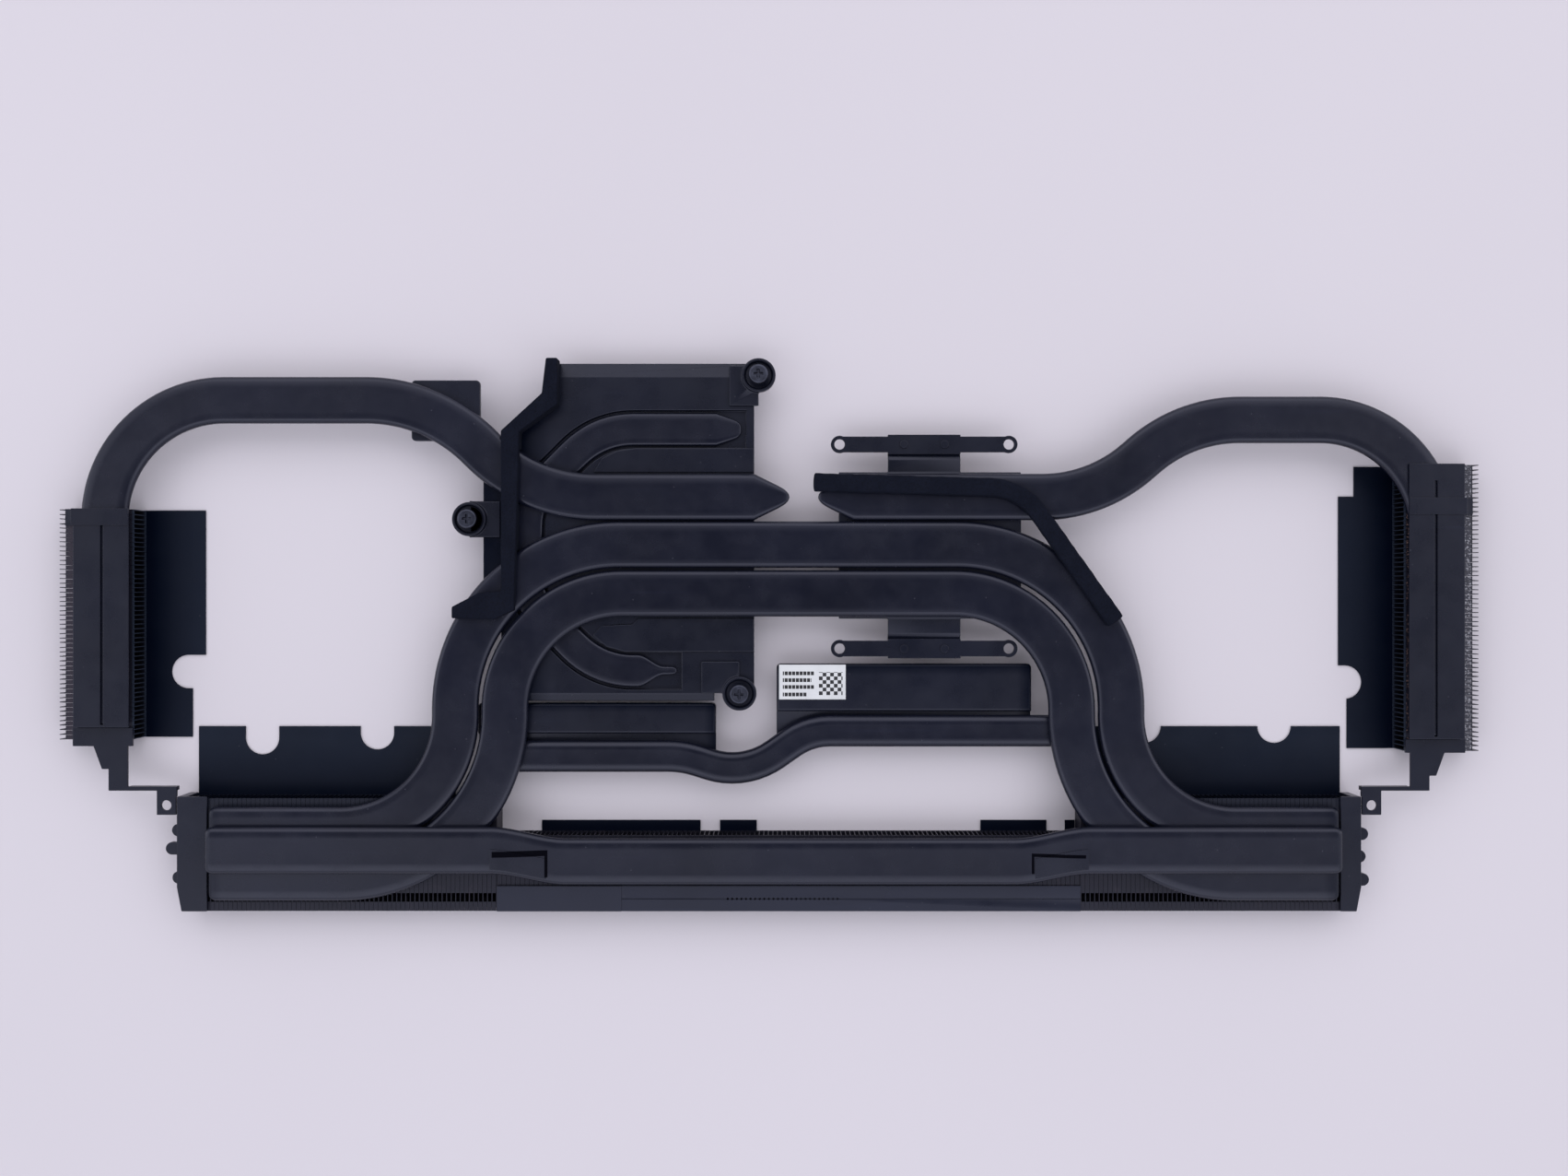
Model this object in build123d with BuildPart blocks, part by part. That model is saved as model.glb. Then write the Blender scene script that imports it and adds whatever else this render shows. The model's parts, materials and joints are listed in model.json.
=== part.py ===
from build123d import *
from math import acos, tan
import os

os.makedirs("parts", exist_ok=True)

# Laptop heat-sink module, millimetres. X runs along the rear edge, Y towards the front, Z up.
# The origin is under the middle of the module, on the plane that it lies on.

# Flattened heat pipes: an 8 mm tube pressed flat, and two 6 mm tubes
pipe_w = 11.2
pipe_t = 2.4
pipe_gap = 0.5
link_w = 7.7
link_t = 3.0
hook_w = 8.4
hook_t = 1.4
hook_gap = 0.35
side_pipe_gap = 0.2

# Levels above the plane that the module lies on
sheet_t = 0.3
fin_h = 6.9
fin_top = sheet_t + fin_h
pipe_mid = fin_top + pipe_t / 2
pipe_top = fin_top + pipe_t
upper_mid = pipe_top + pipe_t / 2
link_mid = fin_top - link_t / 2
link_low = fin_top - link_t

# Fin packs
fin_pitch = 1.1
fin_wall = 0.25
skin_t = 0.3
side_face_x = 152.9
side_depth = 16.4
comb_reach = 1.45
left_pack_y = (-25.2, 30.3)
right_pack_y = (-28.0, 41.0)
rear_y = -66.4
rear_inner_y = -39.3
rear_end_x = 140.0
middle_x = (-65.4, 74.9)
middle_inner_y = -48.2
comb_slot_y = (-64.2, -62.1)
pack_gap = 0.1

# Routes of the pipes
side_run_inset = 0.8
left_crest_y = 56.3
left_bend_r = 28.6
left_sway_r = 38.5
left_sway_slack = 1.1
left_drop_x = -80.6
left_tip_x = 4.9
right_crest_y = 51.6
right_bend_r = 27.1
right_sway_r = 35.0
right_sway_slack = 2.3
right_rise_x = 78.6
right_tip_x = 11.8
pipe_tip = 8.5
loop_x = 4.6
inner_leg = 68.0
inner_top_y = 10.0
inner_rear_y = -58.1
inner_upper_r = 28.1
outer_lower_r = 27.4
rear_pitch_gap = 0.15
rear_pipe_x = (-134.3, 136.6)
upper_run_y = -51.2
middle_run_y = -54.3
step_left_x = (-66.5, -48.5)
step_right_x = (58.7, 76.7)
step_stations = 6
link_x = (-67.5, 74.5)
link_left_y = -29.3
link_right_y = -23.2
link_dip = (-5.9, -34.0)
link_bends_x = (-20.8, 9.6)
link_radii = (24.0, 18.0, 16.0)
hook_x = (-58.5, -41.1)
hook_upper_y = (49.5, 32.1)
hook_lower_y = (-8.6, 8.8)
hook_upper_tip_x = -6.7
hook_lower_tip_x = -22.2
hook_outer_r = 20.0
hook_inner_r = 14.0
hook_tip = 7.4
crimp_tip = 9.5

# Each row of a tip: share of its length from the full pipe, share of width, share of thickness
round_tip = ((0.4, 0.88, 0.9), (0.72, 0.62, 0.8), (0.9, 0.38, 0.7), (1.0, 0.2, 0.6))
crimped_tip = ((0.15, 0.88, 0.92), (0.45, 0.54, 0.84), (0.7, 0.28, 0.76), (1.0, 0.25, 0.7))

# Graphics chip plate
gpu_x = (-68.8, -3.6)
gpu_y = (-15.9, 65.4)
gpu_t = 2.0
gpu_flange_x = -64.5
gpu_flange_y = (10.6, 37.5)
gpu_lip = 3.4
gpu_rear_lip = 1.8
gpu_lip_drop = 0.7
gpu_notch = 9.6
gpu_notch_y = 2.6
clip_room_r = 3.0

# Islands on the graphics plate: corners as X from the hook's inner bend and Y in from the edge
island_h = 0.4
island_start = -1.2
upper_island_bend = [(9.0, 0.0), (4.6, 0.6), (0.8, 2.4)]
lower_island_bend = [(-1.4, 4.0), (2.0, 1.2), (6.4, 0.0)]
lower_island_end = [(9.6, 0.0), (8.2, 1.4), (0.6, 1.8)]

# Copper cold plates under the two base plates, and soft pads over the memory chips
cold_plate_t = 1.4
gpu_cold_x = (-56.0, -12.0)
gpu_cold_y = (2.0, 46.0)
memory_pad = (10.0, 14.0)
memory_pad_t = 1.0
memory_pads_at = ((-45.0, 55.0), (-25.0, 55.0), (-45.0, -6.5), (-25.0, -6.5))
pocket_tip_room = 1.2

# Captive screws: places, collars, heads and springs
screw_places = {"left": (-71.9, 27.8), "front": (-2.5, 62.3), "rear": (-7.1, -14.0)}
lug_t = 0.8
lug_r = 4.1
lug_root = {"left": (7.4, 8.7), "front": (7.1, 9.7), "rear": (9.2, 7.7)}
lug_root_shift = {"left": 0.0, "front": -2.4, "rear": 3.85}
collar_r = 3.3
collar_h = 1.0
shank_r = 1.2
shank_fit = 0.08
groove_depth = 0.45
thread_r = 1.0
thread_chamfer = 0.3
screw_tip_z = 1.8
head_r = 2.3
head_t = 1.1
head_round = 0.35
recess_w = 0.6
recess_len = 2.6
recess_depth = 0.7
clip_r = 2.3
clip_t = 0.4
clip_fit = 0.05
clip_mouth = 1.4
spring_wire = 0.35
spring_r = 1.75
spring_len = 2.4
spring_turns = 3

# Processor plate and its spring bars
cpu_x = (16.8, 60.7)
cpu_y = (3.9, 39.2)
cpu_t = 1.2
cpu_cold_x = (22.5, 52.5)
cpu_cold_y = (8.0, 34.5)
bar_span = 40.8
bar_pitch = 49.2
bar_mid = (37.4, 21.3)
bar_w = 3.8
bar_waist_w = 4.7
bar_t = 0.8
bar_eye_r = 2.1
bar_hole_r = 1.25
neck_w = 17.5
neck_t = 0.8
neck_ramp = 1.3
neck_drop = 0.5
cpu_lip = 1.0
rivet_pitch = 9.8
rivet_r = 1.0
rivet_head_h = 0.4
rivet_hole_r = 0.7

# Regulator plates
reg_t = 0.8
tray_rise = 1.8
tray_wall = 0.7
left_reg_x = (-70.4, -12.9)
left_reg_y = (-28.4, -16.5)
left_tray_y = -23.9
right_reg_x = (1.8, 63.4)
right_reg_y = (-25.2, -7.0)
right_tray_y = -18.5
tray_round = 1.0
reg_pad_t = 1.2
reg_pad_inset = 1.8
label_inset = 0.6
label_size = (16.1, 8.4)
label_clear = 1.8
label_t = 0.12

# Left wall seal, right seal strip and the small support plate
seal_h = 2.4
wall_outline = [
    (-53.0, 66.0),
    (-50.3, 66.0),
    (-50.3, 55.0),
    (-59.4, 48.5),
    (-60.6, 6.0),
    (-65.4, 3.8),
    (-75.4, 4.1),
    (-75.4, 6.8),
    (-68.9, 10.2),
    (-63.7, 10.4),
    (-63.7, 48.7),
    (-54.0, 57.6),
]
wall_foot_x = (-76.0, -68.8)
wall_foot_y = (3.0, 11.0)
wall_clear = 0.15
wall_overhang = 0.8
strip_route = [(10.6, 36.5), (60.0, 35.1), (82.7, 3.2)]
strip_bend_r = 14.0
strip_w = 4.5
support_x = (-86.1, -69.6)
support_y = (46.7, 61.3)
support_t = 1.6
support_pad_t = 1.4
support_inset = 2.0

# Covers and straps of the side packs
cover_t = 0.6
cover_outer_x = 166.2
cover_lip_t = 0.6
cover_slot_w = 0.7
cover_end = 3.2
strap_w = 4.0
strap_t = 0.35
left_strap_y = 26.3
right_strap_y = 28.9

# Air guide sheets
boss_r = 4.1
notch_reach = 12.0
left_sheet_x = -138.3
left_sheet_low_x = -141.5
left_sheet_notch = (-142.5, -9.2)
right_sheet_x = 139.6
right_sheet_top_x = 143.4
right_sheet_low_x = 141.7
right_sheet_top_y = 33.7
right_sheet_notch = (141.2, -11.8)
rear_sheet_y = -22.6
left_rear_sheet_x = -77.0
right_rear_sheet_x = 75.2
left_boss_places = [(-124.4, -25.4), (-96.2, -24.2)]
right_boss_places = [(92.0, -22.6), (123.9, -22.6)]
middle_tabs = [(-55.8, -16.9), (-12.1, -3.1), (51.8, 68.0), (72.5, 75.2)]
middle_tab_reach = 2.6

# Rear cover strip, its tabs, the end caps and the link arms
rear_cover_t = 0.45
rear_cover_y = -60.3
patch_end_x = -35.5
patch_t = 0.2
groove_y = -63.4
groove_w = 0.3
dot_r = 0.28
dot_x = (-11.0, 17.5)
tab_w = 4.8
tab_t = 0.25
tab_back = 2.0
tab_left_x = (-66.3, -53.2)
tab_right_x = (63.6, 76.0)
cap_t = 2.3
cap_slant = (1.1, 5.8)
peg_h = 1.8
cap_flange_t = 0.8
cap_gap = 0.7
cap_front_y = -38.8
peg_r = 1.5
left_pegs = ((-47.0, 1.5), (-51.4, 3.0), (-58.4, 1.4))
right_pegs = ((-47.9, 2.0), (-53.3, 1.4), (-58.9, 2.2))
arm_t = 0.8
arm_root_gap = 0.2
arm_past_left = 1.5
arm_past_right = 0.3
arm_root_in = 2.0
arm_leg_in = 1.2
arm_leg_w = 4.6
arm_flare = (3.6, 1.6)
arm_leg_y = -37.4
arm_strip_w = 1.0
arm_strip_h = 2.4
arm_taper = 5.5
tab_hole = (144.8, -40.9)
tab_hole_r = 1.2
tab_half = 2.3


def save(piece, name):
    """Name a finished piece and write it to its own file."""
    piece.part.label = name
    export_step(piece.part, f"parts/{name}.step")


def block(xs, ys, zs, mode=Mode.ADD):
    """Add or cut a block that spans the given pairs of X, Y and Z values."""
    with Locations(((xs[0] + xs[1]) / 2, (ys[0] + ys[1]) / 2, (zs[0] + zs[1]) / 2)):
        Box(abs(xs[1] - xs[0]), abs(ys[1] - ys[0]), abs(zs[1] - zs[0]), mode=mode)


def plate(points, z, thick, mode=Mode.ADD):
    """Add or cut a flat plate with a straight-sided outline, from z upwards."""
    with BuildSketch(Plane.XY.offset(z)) as outline:
        with BuildLine():
            Polyline(*points, close=True)
        make_face()
    extrude(outline.sketch, amount=thick, mode=mode)


def pipe_plane(route):
    """Plane square to a level route at its start, its first direction level and across the pipe."""
    ahead = route % 0
    return Plane(origin=route @ 0, x_dir=Vector(-ahead.Y, ahead.X, 0), z_dir=ahead)


def pipe_run(points, radii, z, wide, thick):
    """Sweep a flattened round-edged section along a level route with tangent bends."""
    with BuildLine(Plane.XY.offset(z)) as route:
        FilletPolyline(*points, radius=radii)
    with BuildSketch(pipe_plane(route.line)) as section:
        SlotOverall(wide, thick)
    sweep(section.sketch, path=route.line)


def pipe_tip_at(plane, length, wide, thick, shape):
    """Close the end of a pipe by narrowing its section in steps along the plane's normal."""
    sections = []
    for share, width_share, thick_share in ((0, 1, 1), *shape):
        with BuildSketch(plane.offset(length * share)) as section:
            SlotOverall(wide * width_share, thick * thick_share)
        sections.append(section.sketch)
    loft(sections)


def facing(x, y, z, sign):
    """Plane square to X at a point, looking towards +X or -X, its first direction along Y."""
    return Plane(origin=(x, y, z), x_dir=(0, 1, 0), z_dir=(sign, 0, 0))


# Routes shared by the pipes and by what is cut to let them pass
left_leg_x = -(side_face_x + side_run_inset + pipe_w / 2)
right_leg_x = -left_leg_x
outer_leg = inner_leg + pipe_w + pipe_gap + rear_pitch_gap
outer_top_y = inner_top_y + pipe_w + pipe_gap
outer_rear_y = inner_rear_y + pipe_w + rear_pitch_gap
outer_upper_r = inner_upper_r + pipe_w
inner_lower_r = outer_lower_r + pipe_w + pipe_gap
side_run_y = outer_top_y + pipe_w + side_pipe_gap
left_leg_end = left_pack_y[0] + cover_end
right_leg_end = right_pack_y[0] + cover_end


def sway_run(drop, radius, slack):
    """Length along X of a sway, steep enough for its two bends of one radius to fit."""
    return drop / tan(acos(1 - drop / (2 * (radius + slack))))


left_sway = sway_run(left_crest_y - side_run_y, left_sway_r, left_sway_slack)
right_sway = sway_run(right_crest_y - side_run_y, right_sway_r, right_sway_slack)
left_route = [
    (left_leg_x, left_leg_end),
    (left_leg_x, left_crest_y),
    (left_drop_x, left_crest_y),
    (left_drop_x + left_sway, side_run_y),
    (left_tip_x - pipe_tip, side_run_y),
]
left_radii = [left_bend_r, left_sway_r, left_sway_r]
right_route = [
    (right_tip_x + pipe_tip, side_run_y),
    (right_rise_x, side_run_y),
    (right_rise_x + right_sway, right_crest_y),
    (right_leg_x, right_crest_y),
    (right_leg_x, right_leg_end),
]
right_radii = [right_sway_r, right_sway_r, right_bend_r]


def loop_route(leg, top_y, rear_line_y):
    """Corner points of a nested pipe: rear left fins, up over both chips, rear right fins."""
    return [
        (rear_pipe_x[0], rear_line_y),
        (loop_x - leg, rear_line_y),
        (loop_x - leg, top_y),
        (loop_x + leg, top_y),
        (loop_x + leg, rear_line_y),
        (rear_pipe_x[1], rear_line_y),
    ]


outer_route = loop_route(outer_leg, outer_top_y, outer_rear_y)
outer_radii = [outer_lower_r, outer_upper_r, outer_upper_r, outer_lower_r]
inner_route = loop_route(inner_leg, inner_top_y, inner_rear_y)
inner_radii = [inner_lower_r, inner_upper_r, inner_upper_r, inner_lower_r]
hook_route = [
    (hook_upper_tip_x - hook_tip, hook_upper_y[0]),
    (hook_x[1], hook_upper_y[0]),
    (hook_x[0], hook_upper_y[1]),
    (hook_x[0], hook_lower_y[1]),
    (hook_x[1], hook_lower_y[0]),
    (hook_lower_tip_x - crimp_tip, hook_lower_y[0]),
]
hook_radii = [hook_outer_r, hook_inner_r, hook_inner_r, hook_outer_r]

# Side pipes: a leg on the side fins, a wide bend, a sway down to the chip and a closed tip
with BuildPart() as pipe_left:
    pipe_run(left_route, left_radii, pipe_mid, pipe_w, pipe_t)
    left_end = facing(left_tip_x - pipe_tip, side_run_y, pipe_mid, 1)
    pipe_tip_at(left_end, pipe_tip, pipe_w, pipe_t, round_tip)
save(pipe_left, "pipe_left")

with BuildPart() as pipe_right:
    pipe_run(right_route, right_radii, pipe_mid, pipe_w, pipe_t)
    right_end = facing(right_tip_x + pipe_tip, side_run_y, pipe_mid, -1)
    pipe_tip_at(right_end, pipe_tip, pipe_w, pipe_t, round_tip)
save(pipe_right, "pipe_right")

# Two nested pipes from the rear left fins over both chips to the rear right fins
with BuildPart() as pipe_outer:
    pipe_run(outer_route, outer_radii, pipe_mid, pipe_w, pipe_t)
save(pipe_outer, "pipe_outer_loop")

with BuildPart() as pipe_inner:
    pipe_run(inner_route, inner_radii, pipe_mid, pipe_w, pipe_t)
save(pipe_inner, "pipe_inner_loop")


def rear_pipe_at(x):
    """Y and Z of the rear pipe's centre: upper level at the ends, lower level in the middle."""
    if x < 0:
        share = (x - step_left_x[0]) / (step_left_x[1] - step_left_x[0])
    else:
        share = (step_right_x[1] - x) / (step_right_x[1] - step_right_x[0])
    share = min(max(share, 0), 1)
    ease = share * share * (3 - 2 * share)
    return upper_run_y + (middle_run_y - upper_run_y) * ease, upper_mid + (pipe_mid - upper_mid) * ease


def step_loft(xs, wide, thick, rise, back, slot):
    """Loft along the rear pipe's step: the round-edged pipe itself, or a flat tab on top of it."""
    sections = []
    for i in range(step_stations + 1):
        x = xs[0] + (xs[1] - xs[0]) * i / step_stations
        y, z = rear_pipe_at(x)
        with BuildSketch(facing(x, y - back, z + rise, 1)) as section:
            if slot:
                SlotOverall(wide, thick)
            else:
                Rectangle(wide, thick)
        sections.append(section.sketch)
    loft(sections)


# Rear pipe: straight over the nested pipes at each end, stepped down to the middle fins
with BuildPart() as pipe_rear:
    for start_x, end_x in (
        (rear_pipe_x[0], step_left_x[0]),
        (step_left_x[1], step_right_x[0]),
        (step_right_x[1], rear_pipe_x[1]),
    ):
        run_y, run_z = rear_pipe_at(start_x)
        with BuildSketch(facing(start_x, run_y, run_z, 1)):
            SlotOverall(pipe_w, pipe_t)
        extrude(amount=end_x - start_x)
    step_loft(step_left_x, pipe_w, pipe_t, 0, 0, True)
    step_loft(step_right_x, pipe_w, pipe_t, 0, 0, True)
save(pipe_rear, "pipe_rear")

for side, tab_x in (("left", tab_left_x), ("right", tab_right_x)):
    with BuildPart() as rear_tab:
        step_loft(tab_x, tab_w, tab_t, pipe_t / 2 + tab_t / 2, tab_back, False)
    save(rear_tab, f"rear_pipe_tab_{side}")

# Small pipe under the nested pipes, dipping between the two regulator plates
with BuildPart() as pipe_link:
    pipe_run(
        [
            (link_x[0], link_left_y),
            (link_bends_x[0], link_left_y),
            link_dip,
            (link_bends_x[1], link_right_y),
            (link_x[1], link_right_y),
        ],
        link_radii,
        link_mid,
        link_w,
        link_t,
    )
save(pipe_link, "pipe_small_link")

# Hook-shaped pipe let into the graphics plate, one end rounded and the other crimped
hook_mid = fin_top - hook_t / 2
with BuildPart() as pipe_hook:
    pipe_run(hook_route, hook_radii, hook_mid, hook_w, hook_t)
    upper_end = facing(hook_upper_tip_x - hook_tip, hook_upper_y[0], hook_mid, 1)
    pipe_tip_at(upper_end, hook_tip, hook_w, hook_t, round_tip)
    lower_end = facing(hook_lower_tip_x - crimp_tip, hook_lower_y[0], hook_mid, 1)
    pipe_tip_at(lower_end, crimp_tip, hook_w, hook_t, crimped_tip)
save(pipe_hook, "pipe_graphics_hook")


def fin_section(plane, length):
    """Extrudable section of a fin pack: a frame with one narrow channel between two fins."""
    count = int((length - fin_wall) / fin_pitch)
    with BuildSketch(plane) as section:
        Rectangle(length, fin_h)
        with GridLocations(fin_pitch, 1, count, 1):
            Rectangle(fin_pitch - fin_wall, fin_h - 2 * skin_t, mode=Mode.SUBTRACT)
    return section.sketch


def side_fins(ys, sign, name):
    """Fin pack beside a side fan: fins reach past the top and bottom skins as a comb."""
    outer_x = side_face_x + side_depth
    middle_y = (ys[0] + ys[1]) / 2
    with BuildPart() as pack:
        front = facing(sign * side_face_x, middle_y, sheet_t + fin_h / 2, sign)
        extrude(fin_section(front, ys[1] - ys[0]), amount=side_depth + comb_reach)
        comb_x = (sign * outer_x, sign * (outer_x + comb_reach))
        block(comb_x, ys, (sheet_t, sheet_t + skin_t), Mode.SUBTRACT)
        block(comb_x, ys, (fin_top - skin_t, fin_top), Mode.SUBTRACT)
    save(pack, name)


def rear_fins(xs, inner_y, name):
    """Fin pack along the rear edge, with a slot through its top skin that shows the fin tips."""
    middle_x_of_pack = (xs[0] + xs[1]) / 2
    back = Plane(origin=(middle_x_of_pack, inner_y, sheet_t + fin_h / 2), x_dir=(1, 0, 0), z_dir=(0, -1, 0))
    with BuildPart() as pack:
        extrude(fin_section(back, xs[1] - xs[0]), amount=inner_y - rear_y)
        slot_x = (xs[0] + fin_pitch, xs[1] - fin_pitch)
        block(slot_x, comb_slot_y, (fin_top - skin_t, fin_top), Mode.SUBTRACT)
    save(pack, name)


side_fins(left_pack_y, -1, "fins_left")
side_fins(right_pack_y, 1, "fins_right")
rear_fins((-rear_end_x, middle_x[0] - pack_gap), rear_inner_y, "fins_rear_left")
rear_fins(middle_x, middle_inner_y, "fins_rear_middle")
rear_fins((middle_x[1] + pack_gap, rear_end_x), rear_inner_y, "fins_rear_right")


def side_cover(ys, sign, name):
    """Slotted cover over a side pipe, with a lip down to the fins on its outer side."""
    cover_x = (sign * side_face_x, sign * cover_outer_x)
    leg_x = sign * right_leg_x
    slot_x = (leg_x - cover_slot_w / 2, leg_x + cover_slot_w / 2)
    with BuildPart() as cover:
        block(cover_x, ys, (pipe_top, pipe_top + cover_t))
        block((sign * (cover_outer_x - cover_lip_t), sign * cover_outer_x), ys, (fin_top, pipe_top))
        block(slot_x, (ys[0], ys[1] - strap_w), (pipe_top, pipe_top + cover_t), Mode.SUBTRACT)
        bridge_y = (ys[0], ys[0] + cover_lip_t)
        block(slot_x, bridge_y, (pipe_top, pipe_top + cover_t))
    save(cover, name)


def side_strap(y, sign, name):
    """Narrow strap across a side cover, with its outer end folded down to the fins."""
    strap_y = (y, y + strap_w)
    outer_x = cover_outer_x + strap_t
    top_z = pipe_top + cover_t
    with BuildPart() as strap:
        block((sign * side_face_x, sign * outer_x), strap_y, (top_z, top_z + strap_t))
        block((sign * cover_outer_x, sign * outer_x), strap_y, (fin_top, top_z))
        foot_x = (sign * cover_outer_x, sign * (side_face_x + side_depth))
        block(foot_x, strap_y, (fin_top, fin_top + strap_t))
    save(strap, name)


side_cover((left_leg_end, left_pack_y[1]), -1, "side_cover_left")
side_cover((right_leg_end, right_pack_y[1]), 1, "side_cover_right")
side_strap(left_strap_y, -1, "side_strap_left")
side_strap(right_strap_y, 1, "side_strap_right")


def boss_notch(place, towards):
    """Cut a rounded notch for a fan boss, open in the given direction."""
    mouth = (place[0] + towards[0] * notch_reach / 2, place[1] + towards[1] * notch_reach / 2)
    with BuildSketch(Plane.XY) as notch:
        with Locations(place):
            Circle(boss_r)
        with Locations(mouth):
            Rectangle(
                abs(towards[0]) * notch_reach + abs(towards[1]) * 2 * boss_r,
                abs(towards[1]) * notch_reach + abs(towards[0]) * 2 * boss_r,
            )
    extrude(notch.sketch, amount=sheet_t, mode=Mode.SUBTRACT)


# Thin air guide sheets: each lies under its fins and reaches out below the fan beside it
pack_outer_x = side_face_x + side_depth
with BuildPart() as sheet_left:
    block((-pack_outer_x, left_sheet_low_x), left_pack_y, (0, sheet_t))
    block((-pack_outer_x, left_sheet_x), (left_sheet_notch[1], left_pack_y[1]), (0, sheet_t))
    boss_notch(left_sheet_notch, (1, 0))
save(sheet_left, "air_guide_left")

with BuildPart() as sheet_right:
    block((right_sheet_low_x, pack_outer_x), right_pack_y, (0, sheet_t))
    block((right_sheet_x, pack_outer_x), (right_sheet_notch[1], right_sheet_top_y), (0, sheet_t))
    step_back_x = (right_sheet_low_x, right_sheet_top_x)
    block(step_back_x, (right_sheet_top_y, right_pack_y[1]), (0, sheet_t), Mode.SUBTRACT)
    boss_notch(right_sheet_notch, (-1, 0))
save(sheet_right, "air_guide_right")

with BuildPart() as sheet_rear_left:
    block((-rear_end_x, left_rear_sheet_x), (rear_inner_y, rear_sheet_y), (0, sheet_t))
    block((-rear_end_x, middle_x[0] - pack_gap), (rear_y, rear_inner_y), (0, sheet_t))
    for boss_place in left_boss_places:
        boss_notch(boss_place, (0, 1))
save(sheet_rear_left, "air_guide_rear_left")

with BuildPart() as sheet_rear_right:
    block((right_rear_sheet_x, rear_end_x), (rear_y, rear_sheet_y), (0, sheet_t))
    for boss_place in right_boss_places:
        boss_notch(boss_place, (0, 1))
save(sheet_rear_right, "air_guide_rear_right")

with BuildPart() as sheet_rear_middle:
    block(middle_x, (rear_y, middle_inner_y), (0, sheet_t))
    for tab_ends in middle_tabs:
        reach_y = (middle_inner_y, middle_inner_y + middle_tab_reach)
        block((tab_ends[0], min(tab_ends[1], middle_x[1])), reach_y, (0, sheet_t))
save(sheet_rear_middle, "air_guide_rear_middle")

# Graphics plate: lips at front and rear, screw corners and the corner outside the wall seal cut
# away, pockets for the hook pipe
gpu_low = fin_top - gpu_t
screw_rear = screw_places["rear"]
screw_front = screw_places["front"]
with BuildPart() as gpu_plate:
    block((gpu_flange_x, gpu_x[1]), gpu_y, (gpu_low, fin_top))
    block((gpu_x[0], gpu_flange_x), gpu_flange_y, (gpu_low, fin_top))
    front_edge = gpu_plate.edges().filter_by(Axis.X).group_by(Axis.Z)[-1].sort_by(Axis.Y)[-1]
    front_face = gpu_plate.faces().sort_by(Axis.Y)[-1]
    chamfer(front_edge, length=gpu_lip_drop, length2=gpu_lip, reference=front_face)
    rear_edge = gpu_plate.edges().filter_by(Axis.X).group_by(Axis.Z)[-1].sort_by(Axis.Y)[0]
    rear_face = gpu_plate.faces().sort_by(Axis.Y)[0]
    chamfer(rear_edge, length=gpu_lip_drop, length2=gpu_rear_lip, reference=rear_face)
    wall_side = (wall_outline[10], wall_outline[11], wall_outline[0])
    under_wall = [(x + wall_overhang, y) for x, y in wall_side]
    corner_cut = [(gpu_x[0], wall_side[0][1]), *under_wall, (gpu_x[0], wall_side[-1][1])]
    plate(corner_cut, gpu_low, gpu_t, Mode.SUBTRACT)
    notch_x = (gpu_x[1] - gpu_notch, gpu_x[1])
    block(notch_x, (gpu_y[0], gpu_y[0] + gpu_notch_y), (gpu_low, fin_top), Mode.SUBTRACT)
    with BuildSketch(Plane.XY.offset(gpu_low)):
        with Locations(screw_rear, screw_front):
            Circle(clip_room_r)
    extrude(amount=gpu_t, mode=Mode.SUBTRACT)
    with BuildLine(Plane.XY.offset(fin_top - hook_t)) as pocket_route:
        FilletPolyline(*hook_route, radius=hook_radii)
    with BuildSketch(Plane.XY.offset(fin_top - hook_t)):
        trace(pocket_route.line, line_width=hook_w + 2 * hook_gap)
    extrude(amount=hook_t, mode=Mode.SUBTRACT)
    pocket_z = (fin_top - hook_t, fin_top)
    half_pocket = hook_w / 2 + hook_gap
    for tip_x, tip_length, pocket_y in (
        (hook_upper_tip_x, hook_tip, hook_upper_y[0]),
        (hook_lower_tip_x, crimp_tip, hook_lower_y[0]),
    ):
        tip_pocket_x = (tip_x - tip_length, tip_x + pocket_tip_room)
        block(tip_pocket_x, (pocket_y - half_pocket, pocket_y + half_pocket), pocket_z, Mode.SUBTRACT)
save(gpu_plate, "graphics_base_plate")

# Raised islands between the pipes: cut close to the pockets and to the pipes beside them
upper_low_y = side_run_y + pipe_w / 2 + hook_gap
upper_high_y = hook_upper_y[0] - half_pocket
lower_low_y = hook_lower_y[0] + half_pocket
lower_high_y = inner_top_y - pipe_w / 2 - hook_gap
upper_corners = [
    (hook_x[1] + island_start, upper_low_y),
    (gpu_x[1], upper_low_y),
    (gpu_x[1], upper_high_y),
]
upper_corners += [(hook_x[1] + along, upper_high_y - inwards) for along, inwards in upper_island_bend]
lower_corners = [(hook_x[1] + along, lower_low_y + inwards) for along, inwards in lower_island_bend]
lower_corners += [(gpu_x[1], lower_low_y), (gpu_x[1], lower_high_y)]
lower_corners += [(hook_x[1] + along, lower_high_y - inwards) for along, inwards in lower_island_end]
with BuildPart() as islands:
    plate(upper_corners, fin_top, island_h)
    plate(lower_corners, fin_top, island_h)
save(islands, "graphics_plate_islands")

with BuildPart() as gpu_cold:
    block(gpu_cold_x, gpu_cold_y, (gpu_low - cold_plate_t, gpu_low))
save(gpu_cold, "graphics_cold_plate")

with BuildPart() as memory_pads:
    with Locations(*[(x, y, gpu_low - memory_pad_t / 2) for x, y in memory_pads_at]):
        Box(memory_pad[1], memory_pad[0], memory_pad_t)
save(memory_pads, "memory_pads")

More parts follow.
